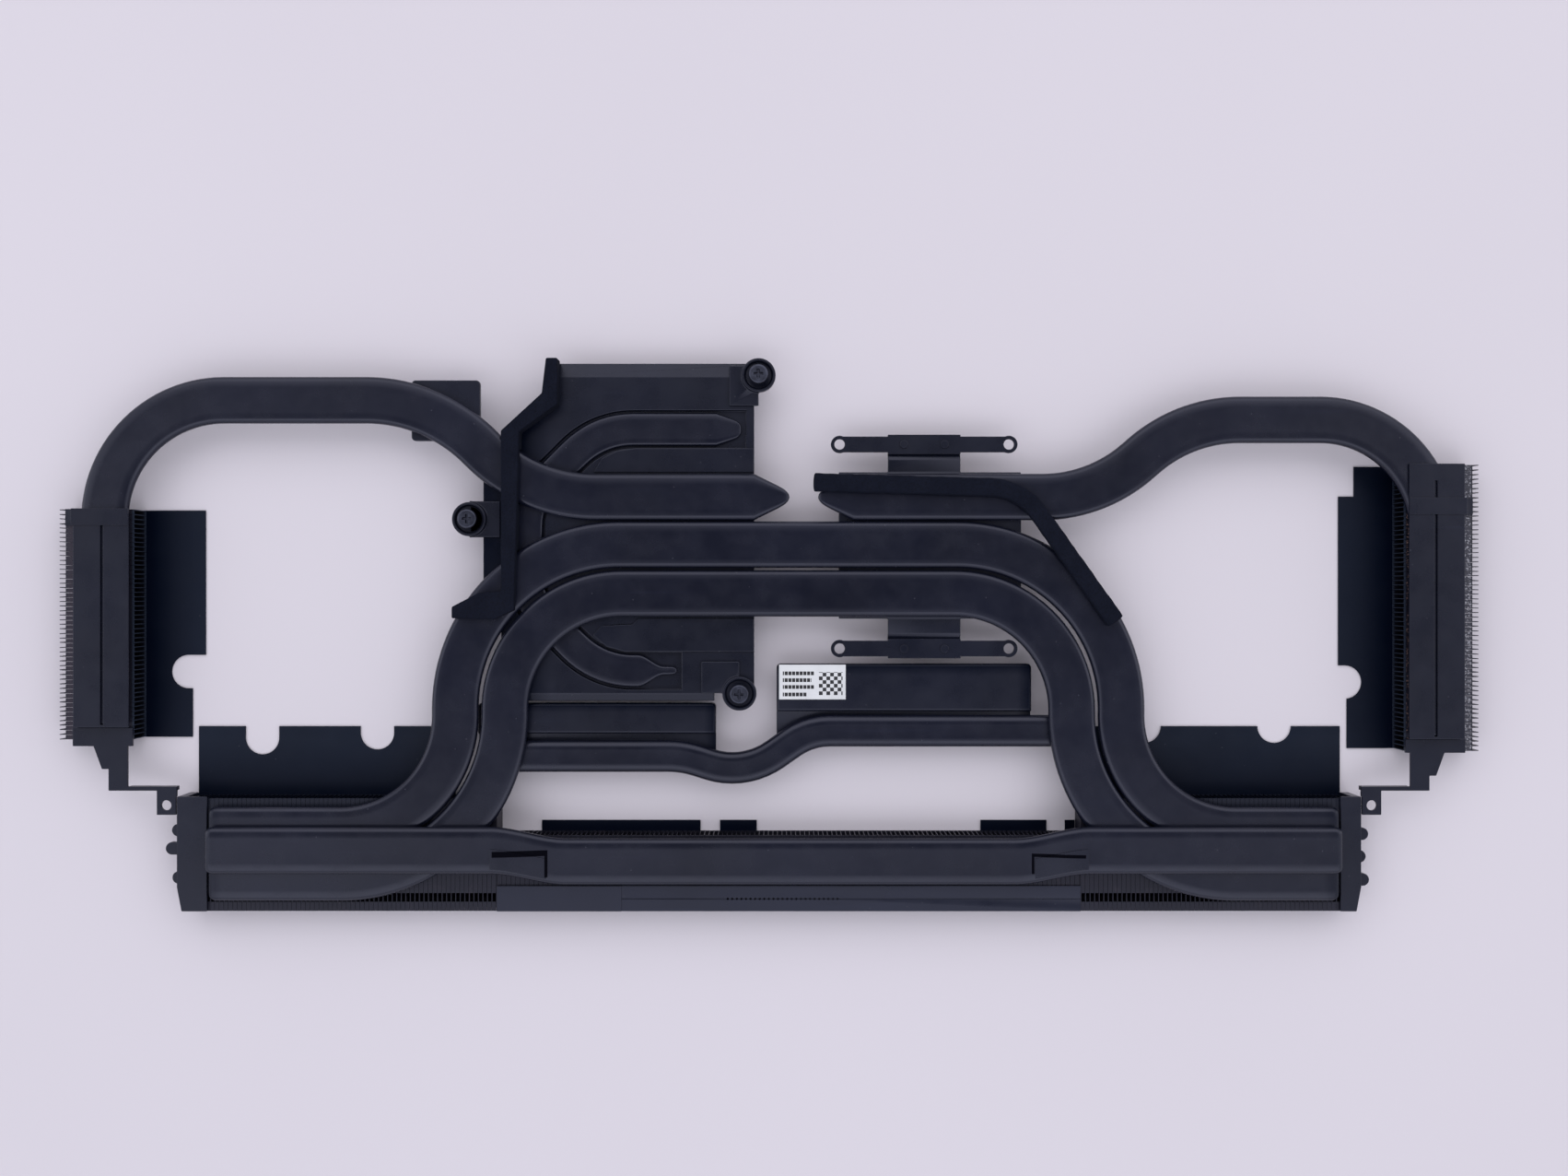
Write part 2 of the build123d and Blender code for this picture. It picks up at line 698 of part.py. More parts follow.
# Screw lugs: a spring steel root on the plate, a round eye past its edge and a raised collar
lug_top = fin_top + lug_t
lug_to = {"left": 1, "front": -1, "rear": -1}
for side, (screw_x, screw_y) in screw_places.items():
    root_len, root_w = lug_root[side]
    with BuildPart() as lug:
        with BuildSketch(Plane.XY.offset(fin_top)):
            with Locations((screw_x, screw_y)):
                Circle(lug_r)
            with Locations((screw_x + lug_to[side] * root_len / 2, screw_y + lug_root_shift[side])):
                Rectangle(root_len, root_w)
            with Locations((screw_x, screw_y)):
                Circle(shank_r + shank_fit, mode=Mode.SUBTRACT)
        extrude(amount=lug_t)
        with BuildSketch(Plane.XY.offset(lug_top)):
            with Locations((screw_x, screw_y)):
                Circle(lug_r)
                Circle(collar_r, mode=Mode.SUBTRACT)
        extrude(amount=collar_h)
    save(lug, f"screw_lug_{side}")

# Captive screws with a cross recess, a groove for the clip, and a coil spring under the head
head_low = lug_top + spring_len
head_top = head_low + head_t
clip_top = fin_top - clip_fit
clip_low = clip_top - clip_t
groove_r = shank_r - groove_depth
for side, (screw_x, screw_y) in screw_places.items():
    with BuildPart() as screw:
        with BuildSketch(Plane.XY.offset(head_low)):
            with Locations((screw_x, screw_y)):
                Circle(head_r)
        extrude(amount=head_t)
        rim = screw.edges().filter_by(GeomType.CIRCLE).group_by(Axis.Z)[-1]
        fillet(rim, radius=head_round)
        with BuildSketch(Plane.XY.offset(clip_low)):
            with Locations((screw_x, screw_y)):
                Circle(shank_r)
        extrude(amount=head_low - clip_low)
        with BuildSketch(Plane.XY.offset(clip_low - clip_fit)):
            with Locations((screw_x, screw_y)):
                Circle(shank_r)
                Circle(groove_r, mode=Mode.SUBTRACT)
        extrude(amount=clip_t + 2 * clip_fit, mode=Mode.SUBTRACT)
        with BuildSketch(Plane.XY.offset(screw_tip_z)):
            with Locations((screw_x, screw_y)):
                Circle(groove_r)
        extrude(amount=clip_low - screw_tip_z)
        with BuildSketch(Plane.XY.offset(screw_tip_z)):
            with Locations((screw_x, screw_y)):
                Circle(thread_r)
        extrude(amount=clip_low - 2 * clip_fit - screw_tip_z)
        tip_edge = screw.edges().filter_by(GeomType.CIRCLE).group_by(Axis.Z)[0]
        chamfer(tip_edge, length=thread_chamfer)
        with BuildSketch(Plane.XY.offset(head_top - recess_depth)):
            with Locations((screw_x, screw_y)):
                Rectangle(recess_len, recess_w)
                Rectangle(recess_w, recess_len)
        extrude(amount=recess_depth, mode=Mode.SUBTRACT)
    save(screw, f"captive_screw_{side}")

    with BuildPart() as clip:
        with BuildSketch(Plane.XY.offset(clip_low)):
            with Locations((screw_x, screw_y)):
                Circle(clip_r)
                Circle(groove_r + clip_fit, mode=Mode.SUBTRACT)
            with Locations((screw_x, screw_y - clip_r / 2)):
                Rectangle(clip_mouth, clip_r, mode=Mode.SUBTRACT)
        extrude(amount=clip_t)
    save(clip, f"retaining_clip_{side}")

    coil_rise = spring_len - spring_wire
    with BuildPart() as spring:
        with BuildLine():
            coil = Helix(
                pitch=coil_rise / spring_turns,
                height=coil_rise,
                radius=spring_r,
                center=(screw_x, screw_y, lug_top + spring_wire / 2),
            )
        with BuildSketch(Plane(origin=coil @ 0, z_dir=coil % 0)):
            Circle(spring_wire / 2)
        sweep(path=coil, is_frenet=True)
    save(spring, f"screw_spring_{side}")

# Processor plate with sloped front and rear lips, and at each a neck that steps down to a riveted
# spring bar
cpu_low = fin_top - cpu_t
neck_top = fin_top - neck_drop
bar_low = cpu_low
tab_low = bar_low - neck_t
bar_y = {"front": bar_mid[1] + bar_pitch / 2, "rear": bar_mid[1] - bar_pitch / 2}
neck_x = bar_mid[0] - neck_w / 2
with BuildPart() as cpu_plate:
    block(cpu_x, cpu_y, (cpu_low, fin_top))
    for side, sign in (("front", 1), ("rear", -1)):
        edge_y = cpu_y[1] if sign > 0 else cpu_y[0]
        ramp_end_y = bar_y[side] - sign * bar_waist_w / 2
        ramp_start_y = ramp_end_y - sign * neck_ramp
        top_edges = cpu_plate.edges().filter_by(Axis.X).group_by(Axis.Z)[-1].sort_by(Axis.Y)
        side_faces = cpu_plate.faces().sort_by(Axis.Y)
        at_side = -1 if sign > 0 else 0
        chamfer(top_edges[at_side], length=neck_drop, length2=cpu_lip, reference=side_faces[at_side])
        with BuildSketch(Plane.YZ.offset(neck_x)):
            with BuildLine():
                Polyline(
                    (edge_y, neck_top),
                    (ramp_start_y, neck_top),
                    (ramp_end_y, bar_low),
                    (bar_y[side] + sign * bar_waist_w / 2, bar_low),
                    (bar_y[side] + sign * bar_waist_w / 2, tab_low),
                    (ramp_end_y, tab_low),
                    (ramp_start_y, cpu_low),
                    (edge_y, cpu_low),
                    close=True,
                )
            make_face()
        extrude(amount=neck_w)
    with BuildSketch(Plane.XY.offset(tab_low)):
        for side in bar_y:
            with Locations((bar_mid[0], bar_y[side])):
                with GridLocations(rivet_pitch, 1, 2, 1):
                    Circle(rivet_hole_r)
    extrude(amount=neck_t, mode=Mode.SUBTRACT)
save(cpu_plate, "processor_base_plate")

with BuildPart() as cpu_cold:
    block(cpu_cold_x, cpu_cold_y, (cpu_low - cold_plate_t, cpu_low))
save(cpu_cold, "processor_cold_plate")

for side in bar_y:
    with BuildPart() as bar:
        with BuildSketch(Plane.XY.offset(bar_low)):
            with Locations((bar_mid[0], bar_y[side])):
                Rectangle(bar_span, bar_w)
                Rectangle(neck_w, bar_waist_w)
                with GridLocations(bar_span, 1, 2, 1):
                    Circle(bar_eye_r)
                    Circle(bar_hole_r, mode=Mode.SUBTRACT)
                with GridLocations(rivet_pitch, 1, 2, 1):
                    Circle(rivet_hole_r, mode=Mode.SUBTRACT)
        extrude(amount=bar_t)
    save(bar, f"spring_bar_{side}")

bar_top = bar_low + bar_t
with BuildPart() as rivets:
    for side in bar_y:
        with BuildSketch(Plane.XY.offset(tab_low)):
            with Locations((bar_mid[0], bar_y[side])):
                with GridLocations(rivet_pitch, 1, 2, 1):
                    Circle(rivet_hole_r)
        extrude(amount=bar_top - tab_low)
        for head_z in (bar_top, tab_low - rivet_head_h):
            with BuildSketch(Plane.XY.offset(head_z)):
                with Locations((bar_mid[0], bar_y[side])):
                    with GridLocations(rivet_pitch, 1, 2, 1):
                        Circle(rivet_r)
            extrude(amount=rivet_head_h)
save(rivets, "spring_bar_rivets")

# Regulator plates: a flange under the small pipe and a tray raised beside it
reg_low = link_low - reg_t


def regulator(xs, ys, tray_y, name):
    """Thin pressed plate whose front part is a raised tray, open underneath for its pad."""
    tray_x = (xs[0], xs[1])
    tray_ys = (tray_y, ys[1])
    tray_top = link_low + tray_rise
    with BuildPart() as reg:
        block(xs, ys, (reg_low, link_low))
        block(tray_x, tray_ys, (reg_low, tray_top))
        corners = reg.edges().filter_by(Axis.Z).group_by(SortBy.LENGTH)[-1]
        fillet(corners, radius=tray_round)
        top_rim = reg.faces().sort_by(Axis.Z)[-1].edges()
        fillet(top_rim, radius=tray_wall)
        under_x = (xs[0] + tray_wall + reg_t, xs[1] - tray_wall - reg_t)
        under_y = (tray_y + tray_wall + reg_t, ys[1] - tray_wall - reg_t)
        block(under_x, under_y, (reg_low, tray_top - reg_t), Mode.SUBTRACT)
    save(reg, name)


regulator(left_reg_x, left_reg_y, left_tray_y, "regulator_plate_left")
regulator(right_reg_x, right_reg_y, right_tray_y, "regulator_plate_right")

tray_under = link_low + tray_rise - reg_t
for side, reg_x, reg_y, tray_edge in (
    ("left", left_reg_x, left_reg_y, left_tray_y),
    ("right", right_reg_x, right_reg_y, right_tray_y),
):
    with BuildPart() as reg_pad:
        pad_x = (reg_x[0] + reg_pad_inset, reg_x[1] - reg_pad_inset)
        pad_y = (tray_edge + reg_pad_inset, reg_y[1] - reg_pad_inset)
        block(pad_x, pad_y, (tray_under - reg_pad_t, tray_under))
    save(reg_pad, f"regulator_pad_{side}")

# Bare sticker lying in the corner of the right tray, behind the end of the rear bar
label_low = link_low + tray_rise
label_start_x = right_reg_x[0] + label_inset
label_front_y = bar_y["rear"] - bar_eye_r - label_clear
label_x = (label_start_x, label_start_x + label_size[0])
label_y = (label_front_y - label_size[1], label_front_y)
with BuildPart() as label:
    block(label_x, label_y, (label_low, label_low + label_t))
save(label, "sticker")

# Left wall seal: stands on the graphics plate and bridges the pipes that pass under it
seal_top = pipe_top + seal_h
with BuildPart() as wall_seal:
    plate(wall_outline, fin_top, seal_top - fin_top)
    block(wall_foot_x, wall_foot_y, (fin_top, pipe_top), Mode.SUBTRACT)
    for route_points, route_radii in (
        (left_route, left_radii),
        (outer_route, outer_radii),
        (inner_route, inner_radii),
    ):
        with BuildLine(Plane.XY.offset(fin_top)) as tunnel_route:
            FilletPolyline(*route_points, radius=route_radii)
        with BuildSketch(Plane.XY.offset(fin_top)):
            trace(tunnel_route.line, line_width=pipe_w + 2 * wall_clear)
        extrude(amount=pipe_t, mode=Mode.SUBTRACT)
save(wall_seal, "wall_seal_left")

with BuildPart() as strip_seal:
    with BuildLine(Plane.XY.offset(pipe_top)) as strip_line:
        FilletPolyline(*strip_route, radius=strip_bend_r)
    with BuildSketch(Plane.XY.offset(pipe_top)):
        trace(strip_line.line, line_width=strip_w)
    extrude(amount=seal_h)
save(strip_seal, "seal_strip_right")

# Support plate and soft pad under the left pipe's sway
with BuildPart() as support:
    block(support_x, support_y, (fin_top - support_t, fin_top))
    fillet(support.edges().filter_by(Axis.Z), radius=tray_round)
save(support, "pipe_support_plate")

with BuildPart() as support_pad:
    support_pad_x = (support_x[0] + support_inset, support_x[1] - support_inset)
    support_pad_y = (support_y[0] + support_inset, support_y[1] - support_inset)
    support_low = fin_top - support_t
    block(support_pad_x, support_pad_y, (support_low - support_pad_t, support_low))
save(support_pad, "pipe_support_pad")

# Rear cover strip: a plain raised patch at its left end, a fold line and a row of small dots
cover_top = fin_top + rear_cover_t
with BuildPart() as rear_cover:
    block(middle_x, (rear_y, rear_cover_y), (fin_top, cover_top))
    block((middle_x[0], patch_end_x), (rear_y, rear_cover_y), (cover_top, cover_top + patch_t))
    fold_y = (groove_y - groove_w / 2, groove_y + groove_w / 2)
    block((patch_end_x, middle_x[1]), fold_y, (cover_top - rear_cover_t / 2, cover_top), Mode.SUBTRACT)
    dot_count = int((dot_x[1] - dot_x[0]) / fin_pitch)
    with BuildSketch(Plane.XY.offset(fin_top)):
        with Locations(((dot_x[0] + dot_x[1]) / 2, groove_y)):
            with GridLocations(fin_pitch, 1, dot_count, 1):
                Circle(dot_r)
    extrude(amount=rear_cover_t, mode=Mode.SUBTRACT)
save(rear_cover, "rear_cover_strip")


def end_cap(sign, pipe_end_x, pegs, name):
    """Bracket closing one end of the rear fins: a wall, a top flange and rounded pegs outside."""
    outer_x = rear_end_x + cap_t
    slant = [(sign * (outer_x - cap_slant[0]), rear_y), (sign * outer_x, rear_y + cap_slant[1])]
    outside = [*slant, (sign * outer_x, cap_front_y)]
    flange_x = pipe_end_x + sign * cap_gap
    peg_z = (fin_top - peg_h, fin_top)
    with BuildPart() as cap:
        plate([(sign * rear_end_x, rear_y), *outside, (sign * rear_end_x, cap_front_y)], 0, fin_top)
        plate([(flange_x, rear_y), *outside, (flange_x, cap_front_y)], fin_top, cap_flange_t)
        for peg_y, reach in pegs:
            peg_x = sign * (outer_x + reach - peg_r)
            block((sign * rear_end_x, peg_x), (peg_y - peg_r, peg_y + peg_r), peg_z)
            with BuildSketch(Plane.XY.offset(peg_z[0])):
                with Locations((peg_x, peg_y)):
                    Circle(peg_r)
            extrude(amount=peg_h)
    save(cap, name)


end_cap(-1, rear_pipe_x[0], left_pegs, "end_cap_left")
end_cap(1, rear_pipe_x[1], right_pegs, "end_cap_right")


def link_arm(sign, pack_end_y, past, name):
    """Sheet arm from the side fins to the screw tab beside the end cap, with a folded strip."""
    root_y = pack_end_y - past
    root_top_y = pack_end_y + cover_end - arm_root_gap
    root_outer_x = side_face_x + side_depth - arm_root_in
    arm_x = sign * (side_face_x + arm_leg_in)
    outer_leg_x = arm_x + sign * arm_leg_w
    strip_y = (arm_leg_y, arm_leg_y + arm_strip_w)
    tab_x = (sign * (tab_hole[0] - tab_half), sign * (tab_hole[0] + tab_half))
    with BuildPart() as arm:
        plate(
            [
                (sign * side_face_x, root_top_y),
                (sign * root_outer_x, root_top_y),
                (sign * root_outer_x, root_y),
                (outer_leg_x + sign * arm_flare[0], root_y),
                (outer_leg_x + sign * arm_flare[1], root_y - arm_taper),
                (outer_leg_x, root_y - arm_taper),
                (outer_leg_x, arm_leg_y),
                (arm_x, arm_leg_y),
                (arm_x, root_y),
                (sign * side_face_x, root_y),
            ],
            fin_top,
            arm_t,
        )
        block((arm_x, tab_x[0]), strip_y, (fin_top + arm_t - arm_strip_h, fin_top + arm_t))
        block(tab_x, (tab_hole[1] - tab_half, arm_leg_y + arm_strip_w), (fin_top, fin_top + arm_t))
        neck_ends_x = (tab_x[0], sign * (rear_end_x + cap_t))
        block(neck_ends_x, (cap_front_y, arm_leg_y + arm_strip_w), (fin_top, fin_top + arm_t))
        with BuildSketch(Plane.XY.offset(fin_top)):
            with Locations((sign * tab_hole[0], tab_hole[1])):
                Circle(tab_hole_r)
        extrude(amount=arm_t, mode=Mode.SUBTRACT)
    save(arm, name)


link_arm(-1, left_pack_y[0], arm_past_left, "link_arm_left")
link_arm(1, right_pack_y[0], arm_past_right, "link_arm_right")
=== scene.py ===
import json
import math
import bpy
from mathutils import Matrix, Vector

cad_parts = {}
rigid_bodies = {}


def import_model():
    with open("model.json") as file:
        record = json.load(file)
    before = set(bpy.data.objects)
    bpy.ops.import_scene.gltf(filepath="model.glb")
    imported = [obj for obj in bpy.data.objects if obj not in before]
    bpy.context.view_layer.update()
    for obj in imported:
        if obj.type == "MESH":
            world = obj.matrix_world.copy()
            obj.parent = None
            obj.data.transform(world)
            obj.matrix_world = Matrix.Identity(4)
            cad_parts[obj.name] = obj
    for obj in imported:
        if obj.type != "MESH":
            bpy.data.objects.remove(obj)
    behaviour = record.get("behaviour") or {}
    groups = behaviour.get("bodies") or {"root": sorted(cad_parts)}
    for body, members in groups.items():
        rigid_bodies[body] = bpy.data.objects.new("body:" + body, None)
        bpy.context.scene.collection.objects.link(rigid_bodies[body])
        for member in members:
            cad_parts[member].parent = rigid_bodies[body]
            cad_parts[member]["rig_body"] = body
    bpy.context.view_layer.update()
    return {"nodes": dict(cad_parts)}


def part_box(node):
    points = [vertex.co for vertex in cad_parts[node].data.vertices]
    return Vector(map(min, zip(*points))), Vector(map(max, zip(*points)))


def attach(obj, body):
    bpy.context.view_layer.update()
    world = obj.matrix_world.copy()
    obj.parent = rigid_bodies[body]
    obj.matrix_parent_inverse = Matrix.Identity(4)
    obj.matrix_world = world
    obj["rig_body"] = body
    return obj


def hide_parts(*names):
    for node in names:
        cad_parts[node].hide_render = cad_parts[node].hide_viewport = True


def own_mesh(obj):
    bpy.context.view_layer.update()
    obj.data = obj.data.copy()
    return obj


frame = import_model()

from types import SimpleNamespace

import bmesh
import bpy
import numpy as np
from mathutils import Vector

bl_info = {
    "name": "Laptop heat sink module",
    "version": (1, 0, 0),
    "blender": (4, 5, 0),
    "location": "View3D > Sidebar > Heat sink",
    "description": "Dresses a laptop heat sink: pipes, fins, plates, captive screws, seals and pads",
    "category": "Add Mesh",
}

MM = 0.001
UP = np.array([0.0, 0.0, 1.0])

# Pressed pipes, millimetres: section, heights of their middles, and places that their routes pass
PIPE_W = 11.2
PIPE_T = 2.4
LOWER_MID = 8.4
UPPER_MID = 10.8
SIDE_FACE_X = 152.9
PIPE_PAST_FACE = 0.8
LEG_X = SIDE_FACE_X + PIPE_PAST_FACE + PIPE_W / 2
LEFT_LEG_END = -22.0
RIGHT_LEG_END = -24.8
LEFT_CREST_Y = 56.3
RIGHT_CREST_Y = 51.6
SWAY_Y = 33.1
LEFT_SWAY_R = 38.5
RIGHT_SWAY_R = 35.0
LEFT_DROP_X = -80.6
RIGHT_RISE_X = 78.6
LEFT_TIP_X = 4.9
RIGHT_TIP_X = 11.8
LOOP_X = 4.6
INNER_LEG = 68.0
OUTER_LEG = 79.85
INNER_TOP_Y = 10.0
OUTER_TOP_Y = 21.7
INNER_REAR_Y = -58.1
OUTER_REAR_Y = -46.75
REAR_ENDS_X = (-134.3, 136.6)
UPPER_RUN_Y = -51.2
MIDDLE_RUN_Y = -54.3
STEP_LEFT_X = (-66.5, -48.5)
STEP_RIGHT_X = (58.7, 76.7)


def sway_run(drop, radius, slack):
    """Length along X of a sway that drops by `drop` through two bends of one radius.

    The slope is that of bends larger by `slack`, which leaves a short straight run between them.
    """
    return drop / math.tan(math.acos(1 - drop / (2 * (radius + slack))))


LEFT_SWAY = sway_run(LEFT_CREST_Y - SWAY_Y, LEFT_SWAY_R, 1.1)
RIGHT_SWAY = sway_run(RIGHT_CREST_Y - SWAY_Y, RIGHT_SWAY_R, 2.3)


def loop_corners(leg, top_y, rear_y):
    """Corners of a nested pipe: rear left fins, up over both chips, rear right fins."""
    left = LOOP_X - leg
    right = LOOP_X + leg
    start, end = REAR_ENDS_X
    rise = [(start, rear_y), (left, rear_y), (left, top_y)]
    return rise + [(right, top_y), (right, rear_y), (end, rear_y)]


# Level pipes: node, corners of the route and their radii, shapes of the two ends, then the height of
# the middle, the width and the thickness, millimetres
WIDE = (LOWER_MID, PIPE_W, PIPE_T)
LEVEL_PIPES = [
    (
        "pipe_left",
        [(-LEG_X, LEFT_LEG_END), (-LEG_X, LEFT_CREST_Y), (LEFT_DROP_X, LEFT_CREST_Y),
         (LEFT_DROP_X + LEFT_SWAY, SWAY_Y), (LEFT_TIP_X, SWAY_Y)],
        [28.6, LEFT_SWAY_R, LEFT_SWAY_R], ("blunt", "spade"), WIDE,
    ),
    (
        "pipe_right",
        [(RIGHT_TIP_X, SWAY_Y), (RIGHT_RISE_X, SWAY_Y), (RIGHT_RISE_X + RIGHT_SWAY, RIGHT_CREST_Y),
         (LEG_X, RIGHT_CREST_Y), (LEG_X, RIGHT_LEG_END)],
        [RIGHT_SWAY_R, RIGHT_SWAY_R, 27.1], ("spade", "blunt"), WIDE,
    ),
    (
        "pipe_outer_loop", loop_corners(OUTER_LEG, OUTER_TOP_Y, OUTER_REAR_Y),
        [27.4, 39.3, 39.3, 27.4], ("blunt", "blunt"), WIDE,
    ),
    (
        "pipe_inner_loop", loop_corners(INNER_LEG, INNER_TOP_Y, INNER_REAR_Y),
        [39.1, 28.1, 28.1, 39.1], ("blunt", "blunt"), WIDE,
    ),
    (
        "pipe_small_link", [(-67.5, -29.3), (-20.8, -29.3), (-5.9, -34.0), (9.6, -23.2), (74.5, -23.2)],
        [24.0, 18.0, 16.0], ("blunt", "blunt"), (5.7, 7.7, 3.0),
    ),
    (
        "pipe_graphics_hook",
        [(-6.7, 49.5), (-41.1, 49.5), (-58.5, 32.1), (-58.5, 8.8), (-41.1, -8.6), (-22.2, -8.6)],
        [20.0, 14.0, 14.0, 20.0], ("nib", "crimp"), (6.5, 7.9, 1.4),
    ),
]

# How far each shape of end reaches, millimetres
END_LENGTH = {"spade": 8.5, "nib": 6.0, "crimp": 9.5, "blunt": 2.6}

# Slot of the rear fins that shows their walls, millimetres, and the seed of each pack's strays
REAR_SLOT_Y = (-64.2, -62.1)
FIN_SEEDS = {"left": 3, "right": 7, "rear": 11}

# Plates and covers that keep their built shape, with the width of their rounded edges, millimetres
PLATES = {
    "graphics_base_plate": 0.22, "graphics_plate_islands": 0.25, "processor_base_plate": 0.2,
    "regulator_plate_left": 0.12, "regulator_plate_right": 0.12, "spring_bar_front": 0.1,
    "spring_bar_rear": 0.1, "spring_bar_rivets": 0.15, "screw_lug_left": 0.3, "screw_lug_front": 0.3,
    "screw_lug_rear": 0.3, "side_cover_left": 0.16, "side_cover_right": 0.16, "side_strap_left": 0.1,
    "side_strap_right": 0.1, "rear_cover_strip": 0.04, "rear_pipe_tab_left": 0.08,
    "rear_pipe_tab_right": 0.08, "end_cap_left": 0.2, "end_cap_right": 0.2, "link_arm_left": 0.14,
    "link_arm_right": 0.14, "pipe_support_plate": 0.25,
}
ROUND_PLATES = (
    "screw_lug_left", "screw_lug_front", "screw_lug_rear", "spring_bar_rivets", "pipe_support_plate",
)

# Angle from which an edge counts as sharp, degrees: on flat plates, on round ones and on other pieces
FLAT_CREASE = 20.0
ROUND_CREASE = 32.0
CREASE = 30.0

# Screws: places of their axes, then the heights and radii from the thread's end to the head, millimetres
SCREWS = {"left": (-71.9, 27.8), "front": (-2.5, 62.3), "rear": (-7.1, -14.0)}
TIP_R = 0.68
THREAD_LOW = 1.8
THREAD_HIGH = 6.65
THREAD_R = 1.0
THREAD_ENDS = (0.35, 0.05)
GROOVE_R = 0.75
GROOVE_TOP = 7.2
SHANK_R = 1.2
HEAD_LOW = 10.4
HEAD_HIGH = 11.5
HEAD_R = 2.3
HEAD_ROUND = 0.45
HEAD_BREAK = 0.12
RECESS_BLEND = 0.07
SPRING_LOW = 8.0
SPRING_HIGH = 10.4
SPRING_TURNS = 3

# Soft parts, millimetres: pads, and the foam strip with its cut ends and uneven swelling
MEMORY_PADS = [(-45.0, 55.0), (-25.0, 55.0), (-45.0, -6.5), (-25.0, -6.5)]
MEMORY_PAD_SIZE = (14.0, 10.0)
MEMORY_PAD_Z = (4.2, 5.2)
SEAL_CORNERS = [(10.6, 36.5), (60.0, 35.1), (82.7, 3.2)]
SEAL_BEND_R = 14.0
SEAL_WIDTH = 4.5
SEAL_Z = (9.6, 12.0)
SEAL_CUT = 0.7
SEAL_SLACK = 0.1
SEAL_SWELL = (0.05, 0.04)

# Print on the sticker: left, right, bottom and top of its bars and square, millimetres, the cells of
# its grid, its raised corner, and the fields, dashes and share of gaps
STICKER_BARS = [
    (3.3, 11.0, -9.7, -8.8), (3.3, 10.2, -11.4, -10.5),
    (3.3, 11.0, -13.1, -12.2), (3.3, 9.0, -14.8, -13.9),
]
STICKER_SQUARE = (12.1, 17.7, -14.6, -9.0)
STICKER_GRID = (108, 57)
STICKER_LIFT = 0.12
CHEQUER = 0.9
DASH = 0.9
DASH_GAP = 0.2

# Sheen of the black coats, and their tones: painted shade, dusty, rubbed, and the painted shadow lines
COAT_SHEEN = (0.8, 0.81, 1.0, 1.0)
PAINTED_SHADE = (0.0003, 0.0018, 0.0075)
DUST = (0.09, 0.09, 0.11)
RUBBED = (0.026, 0.026, 0.034)
PAINTED_SHADOW_BLACK = (0.0008, 0.0008, 0.0025)

# Share of its gloss that a coat keeps under its painted shade
PAINTED_SHADE_GLOSS = 0.45

# Where painted shade darkens the coats: axis, start and end of each fade, millimetres
# Painted shade on the graphics plate beside the left foam wall, where the wall shades it
CHIP_PAINTED_SHADE = [(0, -52.5, -58.5)]
# Painted shade along the front and right edges of the regulator trays
LEFT_TRAY_PAINTED_SHADE = [(0, -15.8, -13.4), (1, -18.8, -17.0)]
RIGHT_TRAY_PAINTED_SHADE = [(0, 60.0, 62.6), (1, -9.8, -7.6)]
# Painted shade on the air guide sheets, darker towards the fins that shade them
LEFT_SHEET_PAINTED_SHADE = [(0, -136.0, -152.0)]
RIGHT_SHEET_PAINTED_SHADE = [(0, 136.0, 152.0)]
REAR_SHEET_PAINTED_SHADE = [(1, -26.0, -41.0)]
# Painted shade on the loops and the rear pipe at their ends, by the end caps
PIPE_END_PAINTED_SHADE = [(0, -131.0, -135.5), (0, 132.5, 137.5)]

# Painted shadow lines along the rear pipe's tabs, where the raised tabs shade the pipe: left, right, rear
# and front of each, millimetres
TAB_PAINTED_SHADOWS = [
    (-65.8, -52.9, -52.7, -51.3), (-53.6, -52.9, -57.8, -51.3),
    (62.8, 75.3, -52.9, -52.1), (62.8, 63.4, -57.0, -52.1),
]

# Tones of the side fins' outer flanges and their painted highlight glints, of the face towards the fan
# and of its worn edge
LEFT_FLANGE = (0.026, 0.019, 0.028)
RIGHT_FLANGE = (0.05, 0.05, 0.062)
PAINTED_GLINT = (0.3, 0.3, 0.34)
FIN_FACE = (0.018, 0.025, 0.042)
WORN_EDGE = (0.16, 0.1, 0.09)

# Where those tones lie, and the front strip of the rear fins that takes painted shade, millimetres
FLANGE_X = (166.7, 169.0)
FIN_FACE_X = (152.5, 153.3)
WORN_X = (153.4, 154.9)
WORN_Z = (6.6, 7.4)
SHADED_Y = (-41.9, -38.8)

# Floor and lamps, metres; the room's tint; its dim patch straight above: how much narrower it counts
# in X, its reach and its share of the light
FLOOR_HALF = 4.0
FLOOR_Z = -1e-4
FLOOR_GLOW = 0.04
LAMP_AIM = (0.0, 0.0, 0.006)
ROOM_TINT = (0.92, 0.93, 1.0, 1.0)
ROOM_PATCH_NARROWING = 0.3
ROOM_PATCH_REACH = 0.34
ROOM_PATCH_SHARE = 0.01


def length_value(name, description, millimetres):
    """Length property for the panel, kept in metres."""
    return bpy.props.FloatProperty(
        name=name, description=description, default=millimetres * MM, min=0, precision=6, unit="LENGTH"
    )


def colour_value(name, description, default):
    """Linear colour property for the panel."""
    return bpy.props.FloatVectorProperty(
        name=name, description=description, default=default, size=3, subtype="COLOR", min=0, max=1
    )


def light_value(name, description, default, unit):
    """Light or lens property for the panel."""
    return bpy.props.FloatProperty(name=name, description=description, default=default, min=0, unit=unit)


